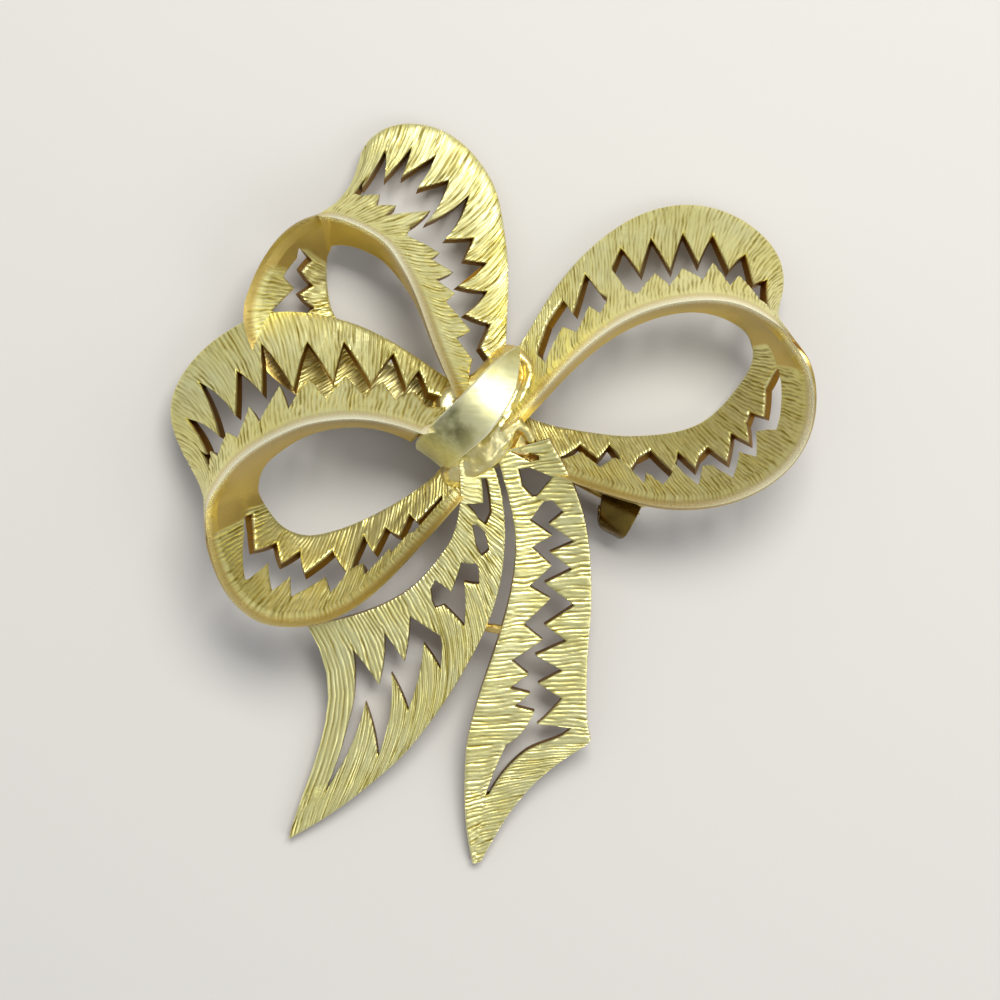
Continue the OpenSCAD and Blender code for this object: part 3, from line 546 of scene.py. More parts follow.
def comb(sec, band, turn, v_from, v_to, along, strokes, ends, sawn):
    """Columns from v_from to v_to. ends says what lies at each: 'cut', 'edge' or 'crown'.
    sawn is 1 at the rows where the cut is open and 0 where the metal is whole."""
    s = sec.rows
    width = np.linalg.norm(curve(band[1], s) - curve(band[0], s), axis=1)
    step = np.minimum(0.3, ROUND / np.maximum(np.abs(v_to - v_from) * width, 1e-6))
    inner = [step + (1 - 2 * step) * x for x in SPREAD]
    shares = [0 * step, step] + inner + [1 - step, 1 + 0 * step]
    columns = []
    for k, share in enumerate(shares):
        v = v_from + (v_to - v_from) * share
        p, n = middle(band, turn, s, v)
        end = ends[0] if k == 0 else ends[1] if k == len(shares) - 1 else ""
        rounded = {"cut": sawn, "edge": 1.0 + 0 * s}.get(end, 0 * s)
        keep = {"cut": 1 - 0.35 * sawn, "edge": 0.35, "crown": 0.8}.get(end, 1)
        # along an open cut or an edge the rounding is painted pale as a highlight
        columns.append(sec.add(
            p + n * (wall / 2 - SINK_EDGE * rounded[:, None]), n, along=along, across=v * width,
            strokes=keep * strokes, polish=rounded * (0.5 if end == "edge" else 0.4)))
    return columns


def round_edge(sec, band, turn, v, outwards, reverse, lipped=None, foot=None):
    """Two columns round an outer edge and one on the back. Along a lip they lead to its foot."""
    p, n = middle(band, turn, sec.rows, v)
    out = unit(curve(band[1], sec.rows) - curve(band[0], sec.rows)) * outwards
    made = []
    for up, push, wl in ((0.22, 0.06, 0.1), (-0.25, 0.06, 0.5), (-0.5, 0, 1)):
        q = p + n * wall * up + out * push
        if lipped is not None:
            face = p + n * wall / 2
            q = q * (1 - lipped) + (face + (foot - face) * (0.5 - up)) * lipped
        # the column on the front of the edge is painted pale as a highlight; those behind it are
        # painted dark as shade
        made.append(sec.add(q, n, polish=0.5 * (up > 0), wall=wl))
    return made[::-1] if reverse else made


def back_point(sec, band, turn, v):
    p, n = middle(band, turn, sec.rows, v)
    return p - n * wall / 2


def backs(sec, band, turn, v_from, v_to):
    """Columns on the back, behind the inner ones of a comb, so that it follows the same bend."""
    n = middle(band, turn, sec.rows, 0.5)[1]
    # the back is painted dark as shade
    return [sec.add(back_point(sec, band, turn, v_from + (v_to - v_from) * x), n, wall=1)
            for x in SPREAD]


def slabs(front, back, first, last):
    """An end section as slabs that follow its bend. first, last: what closes its sides."""
    inner = front[2:-2]
    return [first + front[:3] + [back[0]], front[-3:] + last + [back[-1]]] \
        + [[inner[k], inner[k + 1], back[k + 1], back[k]] for k in range(len(back) - 1)]


# %% Join the columns into a closed ribbon
def close_ribbon(name, sec, ring, gaps, walls, caps, turn):
    """ring: column numbers all the way round. gaps: {(a, b): open rows} left out of the ring.
    walls: (a, b, open rows, corners), the sides of a cut and the corners of its two ends.
    caps: the outlines that close the first and the last section, slab by slab."""
    count, n, faces, ends = len(sec.points), len(sec.rows), [], []
    for a, b in zip(ring, ring[1:] + ring[:1]):
        strip(faces, ~gaps[(a, b)] if (a, b) in gaps else np.ones(n - 1, bool), a, b, count, turn)
    for a, b, opened, corners in walls:
        strip(faces, opened, a, b, count, turn)
        for i in range(1, n - 1):
            if corners and opened[i - 1] != opened[i]:
                face = [i * count + c for c in corners]
                ends.append(face if opened[i - 1] == (turn > 0) else face[::-1])
    for cap in caps:
        first, last = list(cap), [(n - 1) * count + c for c in cap]
        ends += [first, last[::-1]] if turn > 0 else [first[::-1], last]
    return mesh_from(name, sec, faces, ends)


def near_cut(cuts, s):
    """1 at every row on or between the first and last corner of a cut, else 0."""
    hit = [(s >= cut[0][0][0] - 1e-4) & (s <= cut[0][-1][0] + 1e-4) for cut in cuts]
    return np.any(hit, axis=0) * 1.0


# %% A loop: outer band, crown and inner band in one section
CROWN_SWELL = 0.05     # how much the crown is domed, in mm


def ribbon_loop(name, rows, size, inner_cuts, outer_cuts, turn, smooth_until, shine):
    """smooth_until: the rows up to which the inner band is plain, at its rim and at its edge.
    shine: rows, and how worn and bright the rim is there; its pale colour is partly wear and partly a
    painted highlight."""
    inner, outer = loop_bands(rows, size)
    s = np.unique(np.concatenate([
        stations(inner_cuts + outer_cuts, band, STEP) for band in (outer, inner)]))
    s = s[np.concatenate([[True], np.diff(s) > 0.002])]
    sec = Sections(s)
    rim = curve(inner[0], s)
    to_in, to_out = curve(inner[1], s) - rim, curve(outer[1], s) - rim
    n_in, n_out = middle(inner, turn, s, 0)[1], middle(outer, -turn, s, 0)[1]
    meet = np.maximum(1 + np.sum(n_in * n_out, 1), 0.45)[:, None]
    peak = (n_in + n_out) / meet * wall / 2
    opening = np.maximum(0.5, np.sqrt((1 - np.sum(unit(to_in) * unit(to_out), 1)) / 2))
    half = crown / 2 / opening
    sides = {}
    for key, cuts, over in (("in", inner_cuts, to_in), ("out", outer_cuts, to_out)):
        skip = np.minimum(0.7, (half + 0.1) / np.linalg.norm(over, axis=1))
        lo, hi = cut_sides(cuts, s)
        sides[key] = skip, skip + lo * (1 - skip), skip + hi * (1 - skip)
    # along a lip the rim has no outer band, and its back is the inner band's
    lipped = curve([[float(len(r) <= 6)] for r in rows], s)
    under_rim = rim - n_in * wall / 2
    has_outer = np.clip(1 - 1.6 * lipped[:, 0], 0, 1)
    near_out, far_out, near_in, far_in = (
        run_along(middle(band, way_round, s, v)[0])
        for band, way_round in ((outer, -turn), (inner, turn)) for v in (0.2, 0.85))
    cut_out, cut_in = near_cut(outer_cuts, s), near_cut(inner_cuts, s)
    skip, lo, hi = sides["out"]
    a = comb(sec, outer, -turn, 1 + 0 * s, hi, far_out, has_outer, ("edge", "cut"), cut_out)
    b = comb(sec, outer, -turn, lo, skip, near_out, has_outer, ("cut", "crown"), cut_out)
    top = []
    middle_normal = unit(n_in + n_out)
    # the crown is painted pale, partly as wear and partly as a highlight
    for x in (-1, -0.55, 0, 0.55, 1):
        side = unit(to_out) if x < 0 else unit(to_in)
        lift = CROWN_SWELL * (1 - x * x)
        top.append(sec.add(rim + peak + side * (half * abs(x))[:, None] + middle_normal * lift,
                           middle_normal, along=near_out,
                           polish=np.interp(s, *shine) * (1 - 0.3 * abs(x))))
    skip, lo, hi = sides["in"]
    at_rim, at_edge = smooth_until
    in_strokes = [np.clip((s - (at_rim + (at_edge - at_rim) * v)) / 0.5, 0, 1) for v in (0.2, 0.8)]
    c = comb(sec, inner, turn, skip, lo, near_in, in_strokes[0], ("crown", "cut"), cut_in)
    d = comb(sec, inner, turn, hi, 1 + 0 * s, far_in, in_strokes[1], ("cut", "edge"), cut_in)
    edge_in = round_edge(sec, inner, turn, 1, 1, False)
    lip_place = lambda at: under_rim + unit(to_in) * at
    blend = lambda p, at: p * (1 - lipped) + lip_place(at) * lipped
    # the back under the rim is painted dark as shade
    under = [sec.add(p, middle_normal, wall=1) for p in (
        back_point(sec, inner, turn, sides["in"][2]), back_point(sec, inner, turn, sides["in"][1]),
        blend(rim - peak, 0.25), blend(back_point(sec, outer, -turn, sides["out"][1]), 0.1),
        blend(back_point(sec, outer, -turn, sides["out"][2]), 0))]
    edge_out = round_edge(sec, outer, -turn, 1, 1, True, lipped, lip_place(-0.1))
    ring = a + b + top + c + d + edge_in + under + edge_out
    mid = (s[1:] + s[:-1]) / 2
    out_open, in_open = is_open(outer_cuts, mid), is_open(inner_cuts, mid)
    gaps = {(a[-1], b[0]): out_open, (c[-1], d[0]): in_open,
            (under[0], under[1]): in_open, (under[3], under[4]): out_open}
    out_corners, in_corners = (a[-1], b[0], under[3], under[4]), (c[-1], d[0], under[0], under[1])
    walls = [(a[-1], under[4], out_open, out_corners), (under[3], b[0], out_open, None),
             (c[-1], under[1], in_open, in_corners), (under[0], d[0], in_open, None)]
    caps = [a + [under[4]] + edge_out, out_corners, b + top[:3] + [under[2], under[3]],
            top[2:] + c + [under[1], under[2]], in_corners, d + edge_in + [under[0]]]
    return close_ribbon(name, sec, ring, gaps, walls, caps, turn)


# %% A tail: one band with two free edges
def ribbon_tail(name, rows, size, cuts):
    band = tail_band(rows, size)
    s = stations(cuts, band, STEP)
    sec = Sections(s)
    lo, hi = cut_sides(cuts, s)
    near, far = (run_along(middle(band, 1, s, v)[0]) for v in (0.15, 0.85))
    cut = near_cut(cuts, s)
    a = comb(sec, band, 1, 0 * s, lo, near, 1 + 0 * s, ("edge", "cut"), cut)
    b = comb(sec, band, 1, hi, 1 + 0 * s, far, 1 + 0 * s, ("cut", "edge"), cut)
    edge_far = round_edge(sec, band, 1, 1, 1, False)
    n = middle(band, 1, s, 0.5)[1]
    # the backs of the cut walls are painted dark as shade
    under = [sec.add(back_point(sec, band, 1, v), n, wall=1) for v in (hi, lo)]
    back_a, back_b = backs(sec, band, 1, 0 * s, lo), backs(sec, band, 1, hi, 1 + 0 * s)
    edge_near = round_edge(sec, band, 1, 0, -1, True)
    opened = is_open(cuts, (s[1:] + s[:-1]) / 2)
    corners = (a[-1], b[0], under[0], under[1])
    return close_ribbon(
        name, sec, a + b + edge_far + back_b[::-1] + under + back_a[::-1] + edge_near,
        {(a[-1], b[0]): opened, (under[0], under[1]): opened},
        [(a[-1], under[1], opened, corners), (under[0], b[0], opened, None)],
        slabs(a, back_a, edge_near, [under[1]]) + [corners]
        + slabs(b, back_b, [under[0]], edge_far), 1)


# %% Make the five ribbons
right_loop = ribbon_loop(
    "right_loop", right_rows, right_size, right_inner_cuts, right_outer_cuts, -1, (11.2, 9.0),
    ((0, 1, 3, 9, 10, 15, 17, 20), (0.5, 0.8, 0.9, 0.9, 1, 1, 0.7, 0.4)))
left_loop = ribbon_loop(
    "left_loop", left_rows, left_size, left_inner_cuts, left_outer_cuts, 1, (11.1, 10.0),
    ((0, 2, 9, 11, 15, 18), (0.75, 0.9, 0.9, 0.6, 0.5, 0.3)))
upper_loop = ribbon_loop(
    "upper_loop", upper_rows, upper_size, upper_inner_cuts, upper_outer_cuts, 1, (12.3, 10.5),
    ((0, 2, 3, 6, 9, 12), (0.5, 0.7, 0.9, 0.9, 0.6, 0.3)))
left_tail = ribbon_tail("left_tail", left_tail_rows, left_tail_size, left_tail_cuts)
right_tail = ribbon_tail("right_tail", right_tail_rows, right_tail_size, right_tail_cuts)
ribbons = [right_loop, left_loop, upper_loop, left_tail, right_tail]


# %% [markdown]
# ## The graver's strokes
#
# A goldsmith pushes a narrow graver across the wax or the metal, stroke beside stroke, from
# the edge of the ribbon towards the tips of the teeth. The strokes lie 0.34 to 0.4 mm apart,
# never quite evenly, and no two are equally deep. A bump map would do from afar, but at the
# edge of a tooth the furrows must break the outline. So a Geometry Nodes tree presses them
# into the front: it reads how far along the ribbon a point lies, finds the nearest stroke and
# pushes the point in. The seed is fixed, so the brooch is the same on every run.

# %% A helper that adds a node with its settings and links
def add(tree, kind, links=None, **settings):
    made = tree.nodes.new(kind)
    for name, value in settings.items():
        setattr(made, name, value)
    for socket, value in (links or {}).items():
        target = made.inputs[socket]
        if isinstance(value, bpy.types.NodeSocket):
            tree.links.new(value, target)
        else:
            target.default_value = value
    return made


def calc(tree, operation, *values):
    """A Math node: its first output for up to three values or sockets."""
    return add(tree, "ShaderNodeMath", dict(enumerate(values)), operation=operation).outputs[0]


# %% The tree that engraves a ribbon
def engraving_tree():
    tree = bpy.data.node_groups.new("graver_strokes", "GeometryNodeTree")
    face = tree.interface
    face.new_socket(name="Ribbon", in_out="INPUT", socket_type="NodeSocketGeometry")
    for name, value in (("Pitch mm", 0.35), ("Depth mm", 0.15), ("Waver", 1.1), ("Seed", 3.0)):
        socket = face.new_socket(name=name, in_out="INPUT", socket_type="NodeSocketFloat")
        socket.default_value = value
    face.new_socket(name="Metal", in_out="INPUT", socket_type="NodeSocketMaterial")
    face.new_socket(name="Engraved", in_out="OUTPUT", socket_type="NodeSocketGeometry")
    given = tree.nodes.new("NodeGroupInput").outputs
    note = lambda label, kind="FLOAT": add(
        tree, "GeometryNodeInputNamedAttribute", {"Name": label}, data_type=kind).outputs[0]
    along, across, strokes = note("along"), note("across"), note("strokes")

    def ripple(x, y, z):
        spot = add(tree, "ShaderNodeCombineXYZ", {0: x, 1: y, 2: z}).outputs[0]
        return add(tree, "ShaderNodeTexNoise", {"Vector": spot, "Scale": 1.0, "Detail": 1.0},
                   noise_dimensions="3D").outputs[0]

    def chance(x, y):
        spot = add(tree, "ShaderNodeCombineXYZ", {0: x, 1: y}).outputs[0]
        return add(tree, "ShaderNodeTexWhiteNoise", {"Vector": spot},
                   noise_dimensions="3D").outputs[0]

    # the strokes bend a little and crowd or spread along the ribbon, and tremble as they go
    times = lambda value, factor: calc(tree, "MULTIPLY", value, factor)
    less = lambda value, other: calc(tree, "SUBTRACT", value, other)
    drift = less(ripple(times(along, 0.35), times(across, 0.45), given["Seed"]), 0.5)
    tremble = less(ripple(times(along, 1.6), times(across, 1.3), given["Seed"]), 0.5)
    drift = times(calc(tree, "MULTIPLY_ADD", tremble, 0.3, drift), times(given["Waver"], 2.0))
    beat = calc(tree, "ADD", calc(tree, "DIVIDE", along, given["Pitch mm"]), drift)
    number = calc(tree, "FLOOR", beat)
    # each stroke sits off the middle of its own strip, and has its own depth
    centre = calc(tree, "MULTIPLY_ADD", chance(number, given["Seed"]), 0.34, 0.33)
    away = calc(tree, "ABSOLUTE", less(calc(tree, "FRACT", beat), centre))
    furrow = calc(tree, "MAXIMUM", less(1.0, calc(tree, "DIVIDE", away, 0.42)), 0.0)
    depth = calc(tree, "MULTIPLY_ADD", chance(number, calc(tree, "ADD", given["Seed"], 9.0)), 0.6, 0.4)
    # and is lifted off the metal here and there along its way
    press = ripple(times(number, 5.3), times(across, 0.55), given["Seed"])
    press = add(tree, "ShaderNodeMapRange", {0: press, 1: 0.36, 2: 0.56, 3: 0.3, 4: 1.0}).outputs[0]
    # between the furrows the burr is left in small lumps
    burr = ripple(times(along, 3.2), times(across, 1.1), calc(tree, "ADD", given["Seed"], 4.0))
    burr = times(less(burr, 0.42), 0.7)
    groove = times(calc(tree, "MULTIPLY_ADD", times(furrow, depth), press, burr), strokes)
    inwards = times(times(groove, given["Depth mm"]), -MM)
    offset = add(tree, "ShaderNodeVectorMath",
                 {0: note("front_dir", "FLOAT_VECTOR"), "Scale": inwards},
                 operation="SCALE").outputs[0]
    # the depth is stored before the points move, while the notes still fit them
    stored = add(tree, "GeometryNodeStoreNamedAttribute",
                 {"Geometry": given["Ribbon"], "Name": "groove", "Value": groove},
                 data_type="FLOAT", domain="POINT").outputs[0]
    moved = add(tree, "GeometryNodeSetPosition", {"Geometry": stored, "Offset": offset}).outputs[0]
    real = add(tree, "GeometryNodeRealizeInstances", {"Geometry": moved}).outputs[0]
    done = add(tree, "GeometryNodeSetMaterial", {"Geometry": real, "Material": given["Metal"]})
    add(tree, "NodeGroupOutput", {0: done.outputs[0]})
    return tree


def set_inputs(modifier, **values):
    """Sets a tree's inputs by the identifiers of their sockets."""
    names = {s.name: s.identifier for s in modifier.node_group.interface.items_tree
             if s.item_type == "SOCKET" and s.in_out == "INPUT"}
    for name, value in values.items():
        modifier[names[name.replace("_", " ")]] = value


def bake(body):
    """Turns an object's evaluated form into its plain mesh and removes its modifiers."""
    graph = bpy.context.evaluated_depsgraph_get()
    baked = bpy.data.meshes.new_from_object(
        body.evaluated_get(graph), preserve_all_data_layers=True, depsgraph=graph)
    body.modifiers.clear()
    old, body.data = body.data, baked
    bpy.data.meshes.remove(old)
    return baked


# %% [markdown]
# ## The metals
#
# Gold plate over brass is a metal, so its colour lives in its reflections, and its default
# index of refraction stays. Its colour changes from place to place: bright ridges, with the
# furrows under the graver painted darker as shade; darker gold where the strokes are missing;
# deep orange painted on the sawn walls and the backs as shade; and pale, nearly white rims,
# partly wear that has thinned the gold and partly a painted highlight. The ribbons' notes tell
# the material where it is.

# %% Colours as hex, and the masks that the ribbons carry
def hex_colour(code):
    """An sRGB hex value as the linear colour that a shader wants."""
    parts = [int(code[i:i + 2], 16) / 255 for i in (1, 3, 5)]
    return tuple(c / 12.92 if c <= 0.04045 else ((c + 0.055) / 1.055) ** 2.4 for c in parts) + (1.0,)


def new_metal(name, roughness):
    metal = bpy.data.materials.new(name)
    metal.use_nodes = True
    shader = metal.node_tree.nodes["Principled BSDF"]
    shader.inputs["Metallic"].default_value = 1.0
    shader.inputs["Roughness"].default_value = roughness
    return metal, metal.node_tree, shader


def blend_colour(tree, share, a, b):
    """From colour a to colour b as share goes from 0 to 1. A colour is a hex value or a socket."""
    a, b = (hex_colour(c) if isinstance(c, str) else c for c in (a, b))
    return add(tree, "ShaderNodeMix", {"Factor": share, 6: a, 7: b}, data_type="RGBA").outputs[2]


def spread(tree, value, low, high, to_low, to_high):
    """Takes values from low to high over to values from to_low to to_high, and clamps them."""
    return add(tree, "ShaderNodeMapRange",
               {0: value, 1: low, 2: high, 3: to_low, 4: to_high}).outputs[0]


def grain(tree, spot, scale, detail):
    return add(tree, "ShaderNodeTexNoise",
               {"Vector": spot, "Scale": scale, "Detail": detail}).outputs[0]


def mask(tree, label):
    """One of the notes that the mesh carries."""
    return add(tree, "ShaderNodeAttribute", attribute_name=label).outputs["Fac"]


# %% Gilt brass, cut with a graver
# Cast brass, engraved and gold plated: fine bright ridges, satin between, furrows in painted shade.
BEAD = 0.3     # from bead to bead along a milled rim, in mm


def engraved_gilt():
    metal, tree, shader = new_metal("gilt_brass_engraved", 0.38)
    along, across, strokes, groove, polish, sawn = (
        mask(tree, label) for label in ("along", "across", "strokes", "groove", "polish", "sawn"))
    spot = add(tree, "ShaderNodeTexCoord").outputs["Object"]
    cloud, grit = grain(tree, spot, 260.0, 3.0), grain(tree, spot, 4200.0, 2.0)
    # the drag marks of the graver: thin lines along each stroke, nine to the millimetre
    lines = add(tree, "ShaderNodeCombineXYZ", {0: calc(tree, "MULTIPLY", along, 9.0),
                                               1: calc(tree, "MULTIPLY", across, 0.9)}).outputs[0]
    drag = grain(tree, lines, 1.0, 2.0)
    # pale gold in light clouds, then darker gold off the strokes, painted shade in the furrows,
    # rims pale from wear and from a painted highlight, and painted shade on sawn walls and backs
    tone = blend_colour(tree, spread(tree, cloud, 0.35, 0.65, 0, 1), "#F0E89C", "#F6F1B2")
    for done, low, high, to_low, to_high, colour in (
            (strokes, 0.1, 0.5, 1, 0, "#CDB467"), (groove, 0.1, 0.85, 0, 1, "#A08E3E"),
            (polish, 0.3, 0.9, 0, 1, "#F8F3D2"), (sawn, 0.06, 0.3, 0, 1, "#936B20")):
        tone = blend_colour(tree, spread(tree, done, low, high, to_low, to_high), tone, colour)
    tree.links.new(tone, shader.inputs["Base Color"])
    rough = spread(tree, groove, 0, 1, 0.36, 0.48)
    rough = calc(tree, "ADD", rough, spread(tree, grit, 0.3, 0.7, -0.05, 0.05))
    rough = calc(tree, "SUBTRACT", rough, calc(tree, "MULTIPLY", polish, 0.12))
    tree.links.new(rough, shader.inputs["Roughness"])
    # wear has covered the rims with scratches too fine to see, so they shine dully all round
    tree.links.new(spread(tree, polish, 0.3, 1, 1, 0.55), shader.inputs["Metallic"])
    # the brightest rims are milled: a row of beads, too fine to stand out as single ones
    wave = calc(tree, "SINE", calc(tree, "MULTIPLY", along, 2 * math.pi / BEAD))
    beads = calc(tree, "MULTIPLY", wave, spread(tree, polish, 0.93, 0.99, 0, 0.35))
    height = calc(tree, "ADD", calc(tree, "MULTIPLY", drag, 0.8), calc(tree, "MULTIPLY", grit, 0.5))
    height = calc(tree, "ADD", height, beads)
    bump = add(tree, "ShaderNodeBump", {"Strength": 0.5, "Distance": 0.04 * MM, "Height": height})
    tree.links.new(bump.outputs[0], shader.inputs["Normal"])
    return metal


# %% Gilt brass, satin
# The strap and the cast mass: rubbed with a soft wheel, so it gleams in broad soft patches.
def satin_gilt(name, light, deep, roughness, stretch, low_shade=None, dark_reflection=None):
    """lower: (colour, low, high) tints what lies low, a painted shade. stain: (colour, place in mm,
    radius in mm), a dark painted reflection round that place.
    """
    metal, tree, shader = new_metal(name, roughness)
    spot = add(tree, "ShaderNodeTexCoord").outputs["Object"]
    turned = add(tree, "ShaderNodeMapping", {
        "Vector": spot, "Rotation": (0, 0, math.radians(-BAND_TURN)), "Scale": stretch}).outputs[0]
    cloud, rub = grain(tree, spot, 420.0, 4.0), grain(tree, turned, 2600.0, 3.0)
    tone = blend_colour(tree, spread(tree, cloud, 0.4, 0.66, 0, 1), light, deep)
    if low_shade:
        # what lies low is tinted deeper, a painted shade
        z = add(tree, "ShaderNodeSeparateXYZ", {0: spot}).outputs[2]
        low = spread(tree, z, low_shade[1] * MM, low_shade[2] * MM, 1, 0)
        tone = blend_colour(tree, low, tone, low_shade[0])
    # a dark patch round one place, a painted reflection
    if dark_reflection:
        away = add(tree, "ShaderNodeVectorMath", {0: spot, 1: tuple(c * MM for c in dark_reflection[1])},
                   operation="DISTANCE").outputs["Value"]
        reach = spread(tree, away, 0.35 * dark_reflection[2] * MM, dark_reflection[2] * MM, 1, 0)
        patch = calc(tree, "MULTIPLY", reach, spread(tree, cloud, 0.36, 0.56, 0.35, 1))
        tone = blend_colour(tree, patch, tone, dark_reflection[0])
    tone = blend_colour(tree, mask(tree, "polish"), tone, "#F6F3DA")
    tree.links.new(tone, shader.inputs["Base Color"])
    rough = calc(tree, "ADD", spread(tree, cloud, 0.3, 0.7, roughness - 0.06, roughness + 0.08),
                 spread(tree, rub, 0.3, 0.7, -0.04, 0.04))
    tree.links.new(rough, shader.inputs["Roughness"])
    bump = add(tree, "ShaderNodeBump", {"Strength": 0.35, "Distance": 0.03 * MM, "Height": rub})
    tree.links.new(bump.outputs[0], shader.inputs["Normal"])
    return metal


# %% Make the metals
REFLECTION_SPOT = knot + [-2.5, -0.9, 10]     # a dark painted reflection on the strap's left half
engraved = engraved_gilt()
strap_gilt = satin_gilt("gilt_brass_satin_strap", "#F4F0B8", "#D3CB8C", 0.42, (0.12, 1.0, 1.0),
                        dark_reflection=("#6B683F", REFLECTION_SPOT, 3.2))
# the cast mass is tinted a deeper gold where it lies low: painted shade in its valleys
cast_gilt = satin_gilt("gilt_brass_satin_cast", "#F1E8B0", "#DCCB80", 0.34, (1.0, 1.0, 1.0),
                       low_shade=("#E0C474", 5.6, 7.4))
# a dark brass for the hinge plate and the catch: its darkness is painted shade
shade_dark_brass = satin_gilt("brass_painted_shade", "#7D6830", "#594820", 0.26, (0.3, 1.0, 1.0))
wire_gilt = satin_gilt("gilt_brass_wire", "#C7AE5C", "#9E8336", 0.22, (0.3, 1.0, 1.0))
print("metals:", [m.name for m in bpy.data.materials if m.users or m.name.startswith("gilt")])

# %% Engrave the ribbons
graver = engraving_tree()
PITCH = {"right_loop": 0.35, "left_loop": 0.36, "upper_loop": 0.34,
         "left_tail": 0.36, "right_tail": 0.4}     # from stroke to stroke, in mm
for number, ribbon in enumerate(ribbons):
    strokes = ribbon.modifiers.new("strokes", "NODES")
    strokes.node_group = graver
    set_inputs(strokes, Pitch_mm=PITCH[ribbon.name], Depth_mm=0.15, Waver=1.1,
               Seed=3.0 + number, Metal=engraved)
    mesh = bake(ribbon)
    smooth(mesh, 50)
    print(ribbon.name, "engraved:", len(mesh.polygons), "faces")


# %% [markdown]
# ## The fused metal at the knot
#
# Where the ribbons meet, the caster has let the metal run together into one uneven mass with
# a few soft ridges. It could be sculpted, but a simple way keeps it in step with the solids:
# the same round lumps are joined in pairs, and a voxel remesh melts them into one skin. The
# small web between the tails and the pads behind for the hinge and the catch go in with them.

# %% Lumps joined in pairs, then melted together
CATCH = np.array([12.9, -7.9, 2.0])     # the catch, from the knot
BALL, WEB = 0.5, 0.42                   # radii of the ridges and of the web, in mm
pin_way = unit(CATCH - hinge_from_knot)
pin_side = np.array([-pin_way[1], pin_way[0], 0])


def ball_points(centre, radius, rings=6, around=10):
    """Points on a ball, for a convex hull."""
    points = [[0, 0, 1], [0, 0, -1]]
    for i in range(1, rings):
        tilt = math.pi * i / rings
        points += [[math.sin(tilt) * math.cos(2 * math.pi * k / around),
                    math.sin(tilt) * math.sin(2 * math.pi * k / around), math.cos(tilt)]
                   for k in range(around)]
    return np.array(points) * radius + np.array(centre)


def hull_into(shape, *clouds):
    """Adds the convex hull of some clouds of points (in mm from the knot) to a bmesh."""
    made = [shape.verts.new(Vector((p + knot) * MM)) for cloud in clouds for p in cloud]
    out = bmesh.ops.convex_hull(shape, input=made)
    spare = [v for v in out["geom_interior"] if isinstance(v, bmesh.types.BMVert) and v.is_valid]
    bmesh.ops.delete(shape, geom=spare, context="VERTS")


def plate_points(at, along, across, low, high):
    """Corners of a flat box at a place: its reach along and across the pin, and its heights."""
    return np.array([at + pin_way * x + pin_side * y + UP * z
                     for x in along for y in across for z in (low, high)])


lumps = bmesh.new()
# behind the strap the mass stays low, so those balls are smaller than the solid's
balls = [ball_points((x, y, z), radius * (0.7 if x < 1 and y > 0 else 1))
         for x, y, z, radius in core_rows]
for a, b in core_links:
    hull_into(lumps, balls[a], balls[b])
# a low apron of cast metal runs out to the top of the right tail
hull_into(lumps, *(ball_points(at, BALL) for at in (
    (3.5, -1.0, 6.3), (5.1, -2.5, 6.0), (2.6, -3.2, 6.2), (4.4, -3.4, 5.9))))
# soft ridges that run over the mass beside the strap, as chains of small balls
RIDGES = [
    [(3.7, 5.3, 5.6), (4.5, 4.4, 5.9), (4.8, 3.5, 6.2), (4.6, 2.4, 6.6), (4.0, 1.3, 7.0),
     (3.5, 0.3, 7.2), (3.6, -0.8, 7.2)],
    [(3.6, -0.8, 7.2), (4.4, -1.5, 7.0), (4.9, -2.2, 6.8)],
    [(3.6, -0.8, 7.2), (2.8, -2.0, 7.3), (2.0, -3.0, 7.2), (1.2, -3.9, 7.0), (0.1, -4.9, 6.6)],
]
for chain in RIDGES:
    for a, b in zip(chain, chain[1:]):
        hull_into(lumps, ball_points(a, BALL), ball_points(b, BALL))
# the web from tail to tail, and the pads behind for the hinge and for the catch
web = [middle(tail_band(rows, size), 1, np.array([s]), v)[0][0] for rows, size, s, v in (
    (left_tail_rows, left_tail_size, 5.45, 0.97), (right_tail_rows, right_tail_size, 6.35, 0.03))]
hull_into(lumps, *(ball_points(at, WEB) for at in web))
under_knot, under_catch = hinge_from_knot * [1, 1, 0], CATCH * [1, 1, 0]
hull_into(lumps, plate_points(under_knot, (-1.5, 1.5), (-1.4, 1.4), 3.7, 4.1),
          ball_points(under_knot + UP * 5.5, 1.3))
rim_spots = middle(loop_bands(right_rows, right_size)[0], -1, np.array([17.9, 18.7]), 0.12)[0]
hull_into(lumps, plate_points(under_catch, (-1.98, 1.62), (0.5, 1.3), 5.95, 6.25),
          *(ball_points(at, 0.35) for at in rim_spots))
mesh = bpy.data.meshes.new("fused_core")
lumps.to_mesh(mesh)
lumps.free()
fused_core = place("fused_core", mesh)
melt = fused_core.modifiers.new("melt", "REMESH")
melt.mode, melt.voxel_size, melt.use_smooth_shade = "VOXEL", 0.12 * MM, True
soften = fused_core.modifiers.new("soften", "SMOOTH")
soften.factor, soften.iterations = 0.5, 8
mesh = bake(fused_core)
for v in mesh.vertices:      # the skin of the casting is never quite even
    swell = 0.09 * noise.noise(v.co / MM * 1.3) + 0.03 * noise.noise(v.co / MM * 4)
    v.co += v.normal * swell * MM
mesh.shade_smooth()
mesh.materials.clear()
mesh.materials.append(cast_gilt)
print("fused core:", len(mesh.polygons), "faces")
